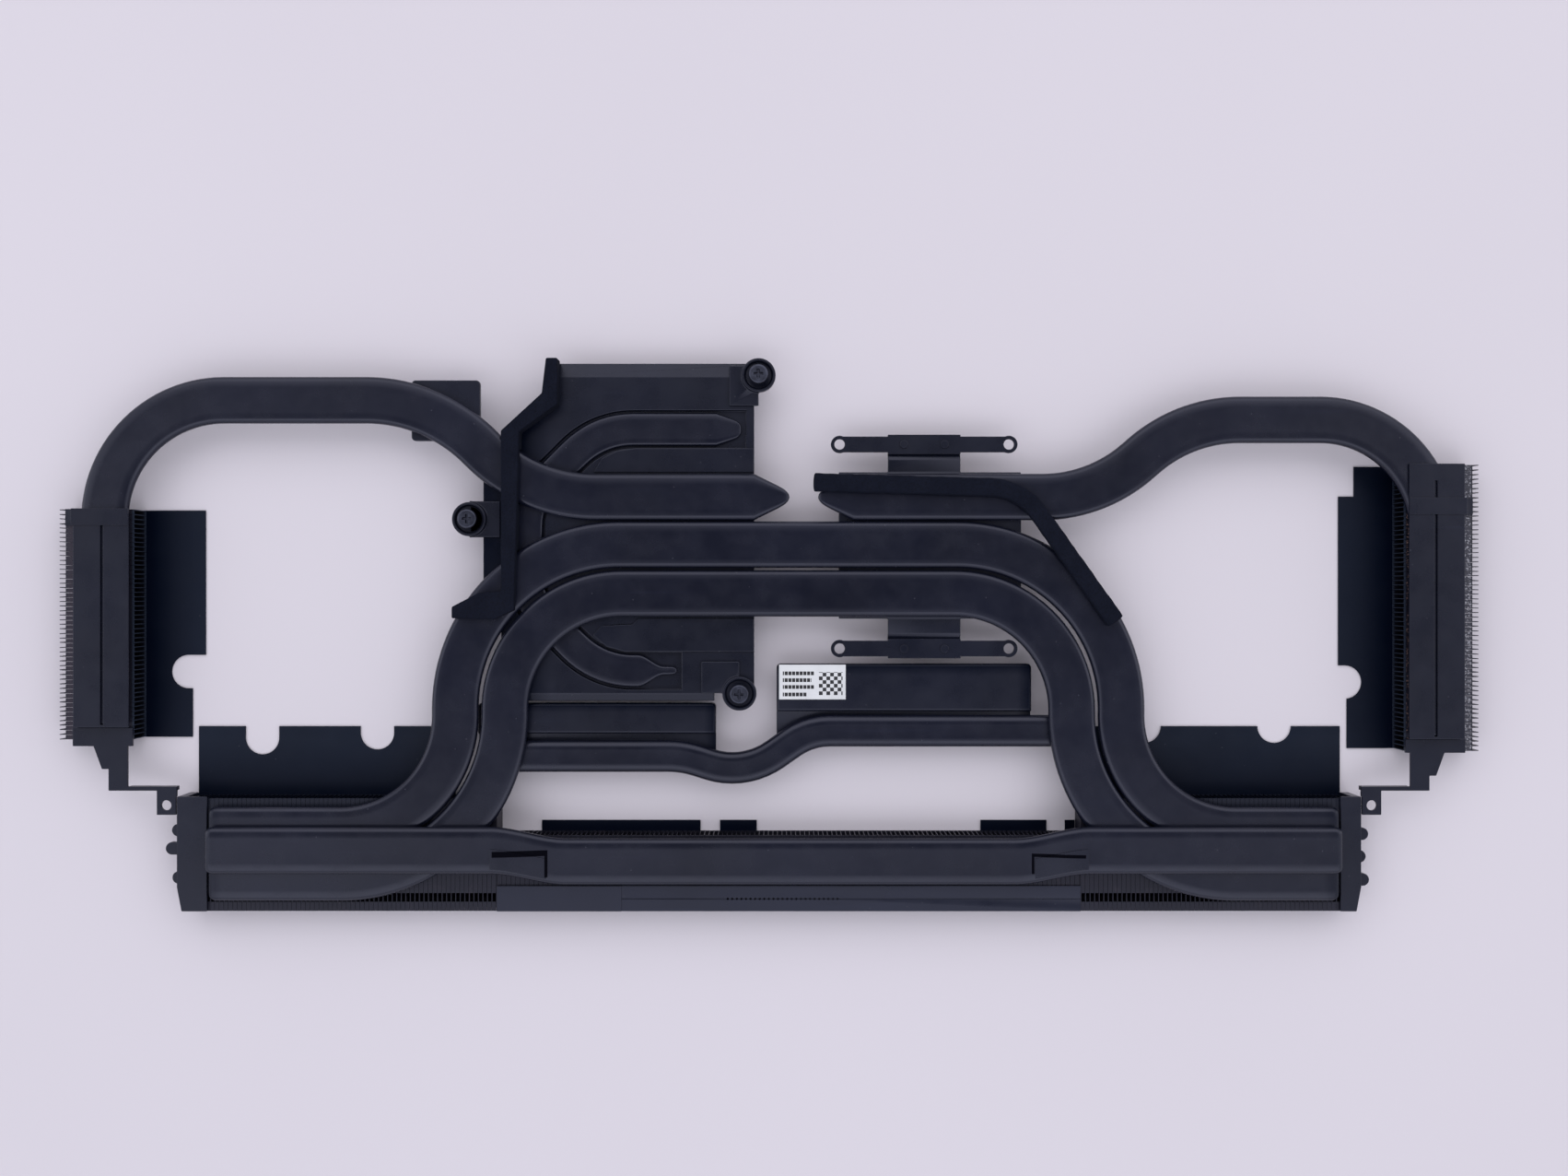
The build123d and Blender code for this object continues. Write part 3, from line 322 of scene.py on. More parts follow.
class HeatSinkSizes(bpy.types.PropertyGroup):
    """Sizes of the parts that are modelled here."""

    pipe_dish: length_value("Pipe dish", "How far the flat of a pressed pipe sinks in its middle", 0.03)
    fin_gauge: length_value("Fin gauge", "Thickness of a fin's wall", 0.2)
    flange_gauge: length_value("Flange gauge", "Thickness of a fin's folded flanges", 0.3)
    fin_pitch: length_value("Fin pitch", "Distance from one fin to the next", 1.1)
    flange_seam: length_value("Flange seam", "Gap between neighbouring folded flanges", 0.07)
    comb_reach: length_value("Comb reach", "How far the side fins reach past their flanges", 1.45)
    fin_stray: length_value("Fin stray", "How far the comb tips are bent at most", 0.09)
    sheet_round: length_value("Sheet rounding", "Rounded edge of the thin air guide sheets", 0.05)
    copper_round: length_value("Copper rounding", "Rounded edge of the cold plates", 0.2)
    seal_round: length_value("Seal rounding", "Rounded edge of the wall seal", 0.3)
    spring_wire: length_value("Spring wire", "Thickness of the screws' spring wire", 0.35)
    spring_radius: length_value("Spring radius", "Radius of the spring's coil", 1.75)
    thread_pitch: length_value("Thread pitch", "Pitch of the screws' thread", 0.4)
    thread_depth: length_value("Thread depth", "Depth of the screws' thread", 0.17)
    recess_width: length_value("Recess width", "Width of the cross recess's arms", 0.55)
    recess_length: length_value("Recess length", "Length of the cross recess", 2.1)
    recess_depth: length_value("Recess depth", "Depth of the cross recess", 0.75)
    sticker_gauge: length_value("Sticker gauge", "Thickness of the sticker", 0.07)


class HeatSinkColours(bpy.types.PropertyGroup):
    """Linear colours of the finishes."""

    pipe: colour_value("Pipe coating", "Satin black on the pipes", (0.005, 0.006, 0.0135))
    plate: colour_value("Plate coating", "Matt black on the plates", (0.0044, 0.0056, 0.0125))
    sheet: colour_value("Guide sheet", "Blue black of the air guide sheets", (0.0026, 0.006, 0.0145))
    fin: colour_value("Fins", "Black of the fins", (0.0068, 0.0066, 0.0125))
    fin_edge: colour_value("Fin edge", "Mauve brown tone on rubbed fin edges", (0.03, 0.023, 0.032))
    screw: colour_value("Screws", "Blackened steel", (0.06, 0.064, 0.09))
    copper: colour_value("Copper", "Bare copper of the cold plates", (0.58, 0.24, 0.13))
    pad: colour_value("Thermal pad", "Soft grey pad", (0.32, 0.35, 0.42))
    seal: colour_value("Seal", "Black foam", (0.0032, 0.0045, 0.0115))
    sticker: colour_value("Sticker", "White film", (0.66, 0.67, 0.7))
    ink: colour_value("Ink", "Black of the printed shapes", (0.01, 0.01, 0.014))
    floor: colour_value("Floor", "Pale grey paper with a lilac tint", (0.62, 0.585, 0.64))


class HeatSinkLight(bpy.types.PropertyGroup):
    """Camera and lamps."""

    eye: bpy.props.FloatVectorProperty(
        name="Eye", description="Place of the camera above the module", default=(0.0036, 0.0113, 0.362),
        size=3, subtype="XYZ", unit="LENGTH",
    )
    lens: light_value("Lens", "Focal length of the camera", 33.84, "CAMERA")
    front_lamp: light_value("Front lamp", "Power of the front lamp", 1.35, "POWER")
    rear_lamp: light_value("Rear lamp", "Power of the rear lamp", 0.8, "POWER")
    side_lamp: light_value("Side lamps", "Power of each side lamp", 0.3, "POWER")
    room: light_value("Room", "Strength of the light from the room", 0.96, "NONE")


def in_millimetres(sizes):
    """The panel's lengths as plain millimetres."""
    return SimpleNamespace(**{name: getattr(sizes, name) / MM for name in HeatSinkSizes.__annotations__})


def mesh_piece(name, points, groups, materials, crease=35.0, reach=2e-6):
    """Object from points (n x 3, millimetres) and groups of faces, each group an m x k index array.

    Doubles within `reach` metres are merged so that poles and seams close, and the normals are
    turned outwards. Edges that turn by more than `crease` degrees are kept sharp, and with a crease
    of 0 all faces are flat.
    """
    corners = np.concatenate([group.ravel() for group in groups]).astype(np.int32)
    sizes = np.concatenate([np.full(len(group), group.shape[1]) for group in groups])
    starts = np.concatenate([[0], np.cumsum(sizes)[:-1]]).astype(np.int32)
    mesh = bpy.data.meshes.new(name)
    mesh.vertices.add(len(points))
    mesh.vertices.foreach_set("co", (points * MM).astype(np.float32).ravel())
    mesh.loops.add(len(corners))
    mesh.loops.foreach_set("vertex_index", corners)
    mesh.polygons.add(len(sizes))
    mesh.polygons.foreach_set("loop_start", starts)
    mesh.update(calc_edges=True)
    mesh.validate()
    for material in materials:
        mesh.materials.append(material)
    if reach:
        weld_mesh(mesh, reach)
    if crease:
        mesh.shade_smooth()
        mesh.set_sharp_from_angle(angle=math.radians(crease))
    else:
        mesh.shade_flat()
    piece = bpy.data.objects.new(name, mesh)
    bpy.context.scene.collection.objects.link(piece)
    return piece


def weld_mesh(mesh, reach):
    """Merge doubles closer than `reach` metres, drop what collapses, and turn the faces outwards."""
    form = bmesh.new()
    form.from_mesh(mesh)
    bmesh.ops.remove_doubles(form, verts=form.verts, dist=reach)
    bmesh.ops.dissolve_degenerate(form, edges=form.edges, dist=reach)
    bmesh.ops.recalc_face_normals(form, faces=form.faces)
    form.to_mesh(mesh)
    form.free()


def stand_in(piece, node):
    """The piece rides on the node's body and is shown in its place, while the node is hidden."""
    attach(piece, frame["nodes"][node]["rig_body"])
    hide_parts(node)


def grid_quads(rows, columns):
    """Quads over rows x columns points, where the last column joins the first."""
    row = np.arange(rows - 1)[:, None] * columns
    column = np.arange(columns)[None, :]
    following = (column + 1) % columns
    corners = [row + column, row + following, row + columns + following, row + columns + column]
    return np.stack(corners, axis=-1).reshape(-1, 4)


def rounded_route(corners, radii, step=1.5):
    """Level route through corner points: straight runs, and a circular arc of its radius at each corner.

    At a corner with unit directions a in and b out, turning by t, the arc starts r tan(t/2) before
    the corner, and its centre lies r to the side of that point.
    """
    corners = np.array(corners, float)
    points = [corners[:1]]
    for corner, before, after, radius in zip(corners[1:-1], corners[:-2], corners[2:], radii):
        way_in = (corner - before) / np.linalg.norm(corner - before)
        way_out = (after - corner) / np.linalg.norm(after - corner)
        side = np.sign(way_in[0] * way_out[1] - way_in[1] * way_out[0])
        turn = math.acos(np.clip(way_in @ way_out, -1, 1))
        start = corner - way_in * radius * math.tan(turn / 2)
        normal = np.array([-way_in[1], way_in[0]]) * side
        angle = np.linspace(0, turn, max(6, int(radius * turn / step)))[:, None]
        centre = start + normal * radius
        points.append(centre - normal * radius * np.cos(angle) + way_in * radius * np.sin(angle))
    points.append(corners[-1:])
    return np.concatenate(points)


def arc_lengths(route):
    """Length of a route up to each of its points."""
    return np.concatenate([[0], np.cumsum(np.linalg.norm(np.diff(route, axis=0), axis=1))])


def stations_on(route, lengths):
    """Points at the given lengths along a level route, and the level directions square to it."""
    run = arc_lengths(route)
    points = np.stack([np.interp(lengths, run, route[:, axis]) for axis in (0, 1)], axis=1)
    ahead = np.gradient(points, lengths, axis=0)
    ahead /= np.linalg.norm(ahead, axis=1)[:, None]
    return points, np.column_stack([-ahead[:, 1], ahead[:, 0], np.zeros(len(ahead))])


def end_shares(kind, share):
    """Width and thickness of a pipe's end as shares, for the share of the end's length gone by.

    A spade narrows evenly to a quarter and a nib to nearly half before they round off, a crimp falls
    to a thin snout, and a blunt end closes over its last stretch with rounded corners. All of them
    shut at share 1.
    """
    shut = np.sqrt(np.clip(1 - share ** 14, 0, 1))
    if kind in ("spade", "nib"):
        narrowing = 0.75 if kind == "spade" else 0.55
        rounded = np.sqrt(np.clip(1 - share ** 12, 0, 1))
        return (1 - narrowing * share) * rounded, (1 - 0.4 * share) * shut
    if kind == "crimp":
        fall = np.clip(share / 0.68, 0, 1)
        return (1 - 0.73 * (3 * fall ** 2 - 2 * fall ** 3)) * shut, (1 - 0.3 * share) * shut
    return 0.72 + 0.28 * np.sqrt(1 - share ** 3), np.sqrt(np.clip(1 - share ** 5, 0, 1))


def flat_tube_section(count=8, flats=5):
    """Section of a pressed tube: the side of the flat (-1 to 1), and the angle on its round edge."""
    right = np.linspace(-90, 90, count)
    left = np.linspace(90, 270, count)
    inner = np.linspace(1, -1, flats + 2)[1:-1]
    side = np.concatenate([np.ones(count), inner, -np.ones(count), -inner])
    angle = np.concatenate([right, np.full(flats, 90.0), left, np.full(flats, 270.0)])
    return side, np.radians(angle)


def pressed_tube(path, across, width, thickness, dish):
    """Surface of a pressed tube, point (i, j) = path i + across i * x + up * z.

    x = side j * (w - t) / 2 + cos(angle j) * t / 2 and z = sin(angle j) * t / 2, with w and t the
    width and thickness at station i, less the dish, which is deepest in the middle of the flats.
    """
    side, angle = flat_tube_section()
    half_flat = np.maximum(width - thickness, 0)[:, None] / 2
    cap = np.minimum(thickness, width)[:, None] / 2
    on_flat = np.abs(np.sin(angle)) > 0.99
    x = half_flat * side + cap * np.cos(angle)
    z = thickness[:, None] / 2 * np.sin(angle) * (1 - dish * (1 - side ** 2) * on_flat)
    grid = path[:, None, :] + across[:, None, :] * x[..., None] + UP * z[..., None]
    return grid.reshape(-1, 3), grid_quads(len(path), len(side))


def stations_along(path, ends):
    """Arc lengths of the stations of a pipe: finer and finer towards the tips of its ends."""
    run = arc_lengths(path)
    total = run[-1]
    rise = np.sin(np.linspace(0, np.pi / 2, 22))
    first, last = (END_LENGTH[kind] for kind in ends)
    body = run[(run > first * 1.01) & (run < total - last * 1.01)]
    long_runs = np.arange(first * 1.02, total - last * 1.02, 6.0)
    lengths = np.concatenate([first * (1 - rise[::-1]), body, long_runs, total - last * (1 - rise)])
    return np.unique(np.round(lengths, 4)), total


def pipe_piece(node, corners, radii, ends, level, dish, material):
    """Pressed pipe along a level route, shut at both ends, in place of its node."""
    height, width, thickness = level
    route = rounded_route(corners, radii)
    lengths, total = stations_along(route, ends)
    middle, across = stations_on(route, lengths)
    path = np.column_stack([middle, np.full(len(middle), height)])
    wide = np.full(len(lengths), width)
    thick = np.full(len(lengths), thickness)
    for kind, past in ((ends[0], lengths), (ends[1], total - lengths)):
        share = np.clip(1 - past / END_LENGTH[kind], 0, 1)
        width_share, thick_share = end_shares(kind, share)
        wide = wide * np.where(share > 0, width_share, 1)
        thick = thick * np.where(share > 0, thick_share, 1)
    points, quads = pressed_tube(path, across, wide, thick, dish / thickness * 2)
    stand_in(mesh_piece(node + "_shell", points, [quads], [material]), node)


def rear_pipe_line(x):
    """Y and Z of the rear pipe over X: an even S-curve from the upper ends down to the middle."""
    left = np.clip((x - STEP_LEFT_X[0]) / (STEP_LEFT_X[1] - STEP_LEFT_X[0]), 0, 1)
    right = np.clip((STEP_RIGHT_X[1] - x) / (STEP_RIGHT_X[1] - STEP_RIGHT_X[0]), 0, 1)
    share = np.minimum(left, right)
    ease = share * share * (3 - 2 * share)
    return UPPER_RUN_Y + (MIDDLE_RUN_Y - UPPER_RUN_Y) * ease, UPPER_MID + (LOWER_MID - UPPER_MID) * ease


def rear_pipe_piece(dish, material):
    """Long rear pipe: its stations lie square to X, and its middle follows the stepped line."""
    ends = np.array([[REAR_ENDS_X[0], 0.0], [REAR_ENDS_X[1], 0.0]])
    steps = np.concatenate([np.linspace(*STEP_LEFT_X, 25), np.linspace(*STEP_RIGHT_X, 25)])
    lengths, _ = stations_along(ends, ("blunt", "blunt"))
    x = np.unique(np.concatenate([lengths + REAR_ENDS_X[0], steps]))
    path = np.column_stack([x, *rear_pipe_line(x)])
    across = np.tile([0.0, 1.0, 0.0], (len(x), 1))
    past = np.minimum(x - REAR_ENDS_X[0], REAR_ENDS_X[1] - x)
    wide, thick = end_shares("blunt", np.clip(1 - past / END_LENGTH["blunt"], 0, 1))
    points, quads = pressed_tube(path, across, PIPE_W * wide, PIPE_T * thick, dish / PIPE_T * 2)
    stand_in(mesh_piece("pipe_rear_shell", points, [quads], [material]), "pipe_rear")


def folded_fins(low, high, stations, flanged, sizes, seed):
    """Folded fins side by side, as rings of eight points at the stations of each fin's depth.

    Ring point k of fin i is the corner of a C section: a wall of the fin gauge, and a bottom and
    a top flange that reach to the next fin less the seam. Where a station has no flange, its
    corners fall back onto the wall. low and high are the pack's ends along the row and in Z.
    """
    count = int(round((high[0] - low[0] - sizes.fin_gauge) / sizes.fin_pitch)) + 1
    place = np.linspace(low[0], high[0] - sizes.fin_gauge, count)
    reach = np.full(count, (high[0] - low[0] - sizes.fin_gauge) / (count - 1) - sizes.flange_seam)
    reach[-1] = sizes.fin_gauge
    wall = sizes.fin_gauge
    flange = sizes.flange_gauge
    tall = high[1] - low[1]
    top = np.array([float(both[1]) for both in flanged])
    bottom = np.array([float(both[0]) for both in flanged])
    wide_top = wall + (reach[:, None] - wall) * top[None, :]
    wide_bottom = wall + (reach[:, None] - wall) * bottom[None, :]
    narrow = np.full_like(wide_top, wall)
    none = np.zeros_like(wide_top)
    along = np.stack([none, wide_bottom, wide_bottom, narrow, narrow, wide_top, wide_top, none], axis=-1)
    rise = np.array([0, 0, flange, flange, tall - flange, tall - flange, tall, tall])
    stray = np.random.default_rng(seed).uniform(-1, 1, count) * sizes.fin_stray
    tip = np.zeros(len(stations))
    tip[-1] = 1.0 if not any(flanged[-1]) else 0.0
    along = along + place[:, None, None] + stray[:, None, None] * tip[None, :, None]
    depth = np.broadcast_to(np.array(stations)[None, :, None], along.shape)
    height = np.broadcast_to(low[1] + rise[None, None, :], along.shape)
    rings = len(stations)
    quads = grid_quads(rings, 8)
    starts = (np.arange(count) * rings * 8)[:, None, None]
    walls = (quads[None] + starts).reshape(-1, 4)
    first = (np.arange(8)[None, :] + starts[:, :, 0]).reshape(-1, 8)
    last = first[:, ::-1] + (rings - 1) * 8
    return along, depth, height, [walls, first, last]


def side_fins_piece(side, sign, sizes, material):
    """Side pack: fins in a row along Y, with plain comb tips past the flanges on the outer side."""
    node = "fins_" + side
    low, high = (np.array(corner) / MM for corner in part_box(node))
    outer = (high[0] if sign > 0 else -low[0]) - sizes.comb_reach
    stations = [SIDE_FACE_X, outer, outer, outer + sizes.comb_reach]
    flanged = [(True, True), (True, True), (False, False), (False, False)]
    along, depth, height, faces = folded_fins(
        (low[1] + sizes.fin_stray, low[2]), (high[1] - sizes.fin_stray, high[2]),
        stations, flanged, sizes, FIN_SEEDS[side],
    )
    fins_piece(node, (sign * depth, along, height), faces, material)


def rear_fins_piece(node, sizes, material):
    """Rear pack: fins in a row along X, whose top flanges leave a slot that shows the fin walls."""
    low, high = (np.array(corner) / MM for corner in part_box(node))
    rear, front = REAR_SLOT_Y
    stations = [high[1], front, front, rear, rear, low[1]]
    flanged = [(True, True), (True, True), (True, False), (True, False), (True, True), (True, True)]
    along, depth, height, faces = folded_fins(
        (low[0], low[2]), (high[0], high[2]), stations, flanged, sizes, FIN_SEEDS["rear"]
    )
    fins_piece(node, (along, depth, height), faces, material)


def fins_piece(node, grids, faces, material):
    """Flat-faced piece from a pack's grids of X, Y and Z, in place of its node."""
    points = np.stack(grids, axis=-1).reshape(-1, 3)
    stand_in(mesh_piece(node + "_folded", points, faces, [material], crease=0, reach=5e-7), node)


def rounded_copy(node, width, material, suffix="_finished", angle=CREASE):
    """Copy of a node's mesh with merged corners and flat faces joined, finished by a fine bevel."""
    mesh = frame["nodes"][node].data.copy()
    form = bmesh.new()
    form.from_mesh(mesh)
    bmesh.ops.remove_doubles(form, verts=form.verts, dist=1e-6)
    bmesh.ops.dissolve_limit(form, angle_limit=math.radians(0.5), verts=form.verts, edges=form.edges)
    bmesh.ops.recalc_face_normals(form, faces=form.faces)
    form.to_mesh(mesh)
    form.free()
    mesh.materials.clear()
    mesh.materials.append(material)
    mesh.name = node + suffix
    mesh.shade_smooth()
    mesh.set_sharp_from_angle(angle=math.radians(angle))
    piece = bpy.data.objects.new(node + suffix, mesh)
    bpy.context.scene.collection.objects.link(piece)
    bevel = piece.modifiers.new("Rounded edges", "BEVEL")
    bevel.width = width * MM
    bevel.segments = 2
    bevel.limit_method = "ANGLE"
    bevel.angle_limit = math.radians(angle)
    bevel.use_clamp_overlap = False
    bevel.harden_normals = True
    stand_in(piece, node)
    return piece


class Nodes:
    """Short hand for building the node tree of a material or of the world."""

    def __init__(self, owner, shader="Principled BSDF"):
        owner.use_nodes = True
        self.owner = owner
        self.tree = owner.node_tree
        self.shader = self.tree.nodes[shader]
        self.place = self.add("TexCoord").outputs["Object"]

    @classmethod
    def named(cls, name):
        """Nodes of a new material."""
        return cls(bpy.data.materials.new(name))

    def add(self, kind, inputs=None, **settings):
        """Add a node of a kind, with its settings and its inputs by name or number."""
        node = self.tree.nodes.new("ShaderNode" + kind)
        for name, value in settings.items():
            setattr(node, name, value)
        self.feed(node, inputs or {})
        return node

    def feed(self, node, inputs):
        """Link a node's inputs to sockets, or set them to values."""
        for name, value in inputs.items():
            if isinstance(value, bpy.types.NodeSocket):
                self.tree.links.new(value, node.inputs[name])
            else:
                node.inputs[name].default_value = value

    def surface(self, base, roughness, **others):
        """Feed the shader: its base colour, its roughness and others, by names with underscores."""
        inputs = {name.replace("_", " "): value for name, value in others.items()}
        self.feed(self.shader, {"Base Color": base, "Roughness": roughness, **inputs})

    def noise(self, scale, stretch=(1, 1, 1), detail=3.0, roughness=0.55):
        """Noise over the object, in features per metre, stretched along the axes."""
        place = self.add("Mapping", {"Vector": self.place, "Scale": stretch}).outputs["Vector"]
        inputs = {"Vector": place, "Scale": scale, "Detail": detail, "Roughness": roughness}
        return self.add("TexNoise", inputs).outputs["Fac"]

    def cells(self, scale):
        """Distance to the nearest cell point of a Voronoi pattern."""
        return self.add("TexVoronoi", {"Vector": self.place, "Scale": scale}).outputs["Distance"]

    def axis(self, number):
        """Place along one axis of the object, in metres."""
        return self.add("SeparateXYZ", {"Vector": self.place}).outputs[number]

    def between(self, value, low, high):
        """1 where a value in metres lies from low to high, in millimetres, else 0."""
        above = self.math("GREATER_THAN", value, low * MM)
        return self.math("MULTIPLY", above, self.math("LESS_THAN", value, high * MM))

    def span(self, value, low, high, to_low=0.0, to_high=1.0):
        """Map a value from low..high to to_low..to_high, held at both ends."""
        inputs = {"Value": value, "From Min": low, "From Max": high, "To Min": to_low, "To Max": to_high}
        return self.add("MapRange", inputs).outputs["Result"]

    def math(self, operation, first, second=0.0):
        """One arithmetic step on two values, sockets or numbers."""
        return self.add("Math", {0: first, 1: second}, operation=operation).outputs["Value"]

    def mix(self, share, first, second):
        """Mix two colours, each a socket or three numbers, by a share."""
        inputs = {0: share, 6: first, 7: second}
        for number in (6, 7):
            if not isinstance(inputs[number], bpy.types.NodeSocket):
                inputs[number] = (*inputs[number], 1.0)
        return self.add("Mix", inputs, data_type="RGBA").outputs[2]

    def bump(self, height, depth):
        """Bump of a depth in millimetres from a height of 0 to 1."""
        bump = self.add("Bump", {"Height": height, "Distance": depth * MM})
        self.feed(self.shader, {"Normal": bump.outputs["Normal"]})


def shade(colour, factor):
    """A colour made lighter or darker by a factor, as three numbers."""
    return tuple(min(1.0, part * factor) for part in colour)


def coated(name, colour, roughness, grain, grain_depth, wear=0.0, specular=0.5, painted_shade_fades=()):
    """Black coated metal: cloudy tone, fine powder grain, faint drag lines, dust specks and rubbed spots.

    Each fade (axis, from, to) is painted shade: it darkens and dulls the coat from one place along an
    axis to another, in millimetres.
    """
    n = Nodes.named(name)
    base = n.mix(n.span(n.noise(34.0, detail=4.0), 0.3, 0.72), shade(colour, 0.78), shade(colour, 1.22))
    drags = n.noise(420.0, stretch=(0.05, 1.0, 1.0), detail=2.0)
    base = n.mix(n.span(drags, 0.66, 0.8, 0.0, 0.3), base, shade(colour, 2.1))
    base = n.mix(n.span(n.cells(260.0), 0.02, 0.05, 0.4, 0.0), base, DUST)
    if wear:
        spots = n.noise(120.0, detail=5.0, roughness=0.7)
        base = n.mix(n.span(spots, 0.63, 0.78, 0.0, wear), base, RUBBED)
    gloss = specular
    for axis, start, end in painted_shade_fades:
        place = n.axis(axis)
        # painted shade: the fade darkens the coat's tone and lowers its gloss
        base = n.mix(n.span(place, start * MM, end * MM), base, PAINTED_SHADE)
        gloss = n.math("MULTIPLY", n.span(place, start * MM, end * MM, 1.0, PAINTED_SHADE_GLOSS), gloss)
    rough = n.span(n.noise(160.0, detail=3.0), 0.3, 0.75, roughness - 0.05, roughness + 0.06)
    n.surface(base, rough, Specular_IOR_Level=specular, Specular_Tint=COAT_SHEEN)
    if painted_shade_fades:
        n.feed(n.shader, {"Specular IOR Level": gloss})
    n.bump(n.noise(grain, detail=2.0), grain_depth)
    return n.owner


def paint_tab_shadows(material, fields):
    """Paint shadow lines, near black and less glossy, over a coat: fields of left, right, rear and front,
    in millimetres.
    """
    n = Nodes(material)
    x = n.axis(0)
    y = n.axis(1)
    line = 0.0
    for left, right, rear, front in fields:
        field = n.math("MULTIPLY", n.between(x, left, right), n.between(y, rear, front))
        line = n.math("MAXIMUM", field, line)
    coat = n.shader.inputs["Base Color"].links[0].from_socket
    # painted shadow: near black with little gloss inside the fields
    dull = n.span(line, 0.0, 1.0, 0.5, 0.05)
    n.feed(n.shader, {"Base Color": n.mix(line, coat, PAINTED_SHADOW_BLACK), "Specular IOR Level": dull})
    return material


def brushed(name, colour, roughness, stretch, grain_depth):
    """Bare or blackened metal with a brushed grain along one axis and a stained tone."""
    n = Nodes.named(name)
    grain = n.noise(520.0, stretch=stretch, detail=3.0)
    base = n.mix(n.span(grain, 0.3, 0.7), shade(colour, 0.72), shade(colour, 1.18))
    stain = n.span(n.noise(70.0, detail=4.0), 0.52, 0.75, 0.0, 0.5)
    rough = n.span(grain, 0.3, 0.7, roughness - 0.06, roughness + 0.1)
    n.surface(n.mix(stain, base, shade(colour, 0.5)), rough, Metallic=1.0)
    n.bump(grain, grain_depth)
    return n.owner


def porous(name, colour, pores, depth, roughness):
    """Foam or soft putty: small round pores or grains over a slightly uneven tone."""
    n = Nodes.named(name)
    pore = n.cells(pores)
    tone = n.noise(240.0, detail=3.0)
    base = n.mix(n.span(pore, 0.1, 0.55), shade(colour, 0.6), shade(colour, 1.12))
    base = n.mix(n.span(tone, 0.4, 0.7, 0.0, 0.45), base, shade(colour, 0.75))
    rough = n.span(tone, 0.3, 0.7, roughness - 0.04, roughness + 0.06)
    n.surface(base, rough, Specular_IOR_Level=0.12)
    n.bump(n.span(pore, 0.05, 0.5), depth)
    return n.owner


def fin_finish(colours):
    """Black folded sheet, rubbed in patches, with painted shade on a front strip of the rear packs.

    The side packs have grey outer flanges, the right one with painted highlight glints, and a worn edge
    on the inner one.
    """
    n = Nodes.named("folded_fin_black")
    clouds = n.noise(45.0, detail=4.0)
    base = n.mix(n.span(clouds, 0.3, 0.7), shade(colours.fin, 0.7), shade(colours.fin, 1.3))
    patches = n.noise(260.0, stretch=(1.0, 1.0, 0.3), detail=4.0, roughness=0.7)
    base = n.mix(n.span(patches, 0.56, 0.7, 0.0, 0.45), base, colours.fin_edge)
    # painted shade on the front strip of the rear fins
    base = n.mix(n.between(n.axis(1), *SHADED_Y), base, PAINTED_SHADE)
    x = n.axis(0)
    # painted highlight glints on the right flange; the same noise also places the worn copper dots
    painted_glints_and_wear_dots = n.span(n.noise(2400.0, detail=1.0, roughness=0.4), 0.56, 0.66)
    left_flange = n.between(x, -FLANGE_X[1], -FLANGE_X[0])
    right_flange = n.between(x, *FLANGE_X)
    worn = n.math("MULTIPLY", n.between(x, *WORN_X), n.between(n.axis(2), *WORN_Z))
    for share, tone in (
        (n.math("MULTIPLY", left_flange, 0.8), LEFT_FLANGE),
        (n.math("MULTIPLY", right_flange, 0.8), RIGHT_FLANGE),
        (n.math("MULTIPLY", right_flange, painted_glints_and_wear_dots), PAINTED_GLINT),
        (n.between(n.math("ABSOLUTE", x), *FIN_FACE_X), FIN_FACE),
        (n.math("MULTIPLY", worn, painted_glints_and_wear_dots), WORN_EDGE),
    ):
        base = n.mix(share, base, tone)
    rough = n.span(clouds, 0.3, 0.7, 0.36, 0.52)
    n.surface(base, rough, Specular_IOR_Level=0.4, Specular_Tint=COAT_SHEEN)
    n.bump(n.noise(700.0, detail=2.0), 0.01)
    return n.owner


def paper_finish(name, colour, roughness):
    """Smooth film or paper with a faint mottle and fibre grain."""
    n = Nodes.named(name)
    mottle = n.noise(180.0, detail=4.0)
    base = n.mix(n.span(mottle, 0.35, 0.7), shade(colour, 0.93), shade(colour, 1.03))
    n.surface(base, n.span(mottle, 0.3, 0.7, roughness - 0.05, roughness + 0.05))
    n.bump(n.noise(1500.0, detail=2.0), 0.004)
    return n.owner


class HEATSINK_OT_pipes(bpy.types.Operator):
    """Build the seven pressed heat pipes."""

    bl_idname = "heatsink.pipes"
    bl_label = "Heat pipes"

    def execute(self, context):
        dish = in_millimetres(context.scene.heatsink_sizes).pipe_dish
        colour = context.scene.heatsink_colours.pipe
        plain = coated("pipe_satin_black", colour, 0.25, 700.0, 0.004)
        # the loops and the rear pipe take painted shade at their ends
        ended = coated("loop_satin_black", colour, 0.25, 700.0, 0.004, painted_shade_fades=PIPE_END_PAINTED_SHADE)
        shadow_lined = coated("rear_pipe_satin_black", colour, 0.25, 700.0, 0.004, painted_shade_fades=PIPE_END_PAINTED_SHADE)
        for node, corners, radii, ends, level in LEVEL_PIPES:
            finish = ended if "loop" in node else plain
            pipe_piece(node, corners, radii, ends, level, dish, finish)
        rear_pipe_piece(dish, paint_tab_shadows(shadow_lined, TAB_PAINTED_SHADOWS))
        return {"FINISHED"}


class HEATSINK_OT_fins(bpy.types.Operator):
    """Build the two side fin packs and the three rear fin packs."""

    bl_idname = "heatsink.fins"
    bl_label = "Fin packs"

    def execute(self, context):
        sizes = in_millimetres(context.scene.heatsink_sizes)
        material = fin_finish(context.scene.heatsink_colours)
        side_fins_piece("left", -1, sizes, material)
        side_fins_piece("right", 1, sizes, material)
        for node in ("fins_rear_left", "fins_rear_middle", "fins_rear_right"):
            rear_fins_piece(node, sizes, material)
        return {"FINISHED"}


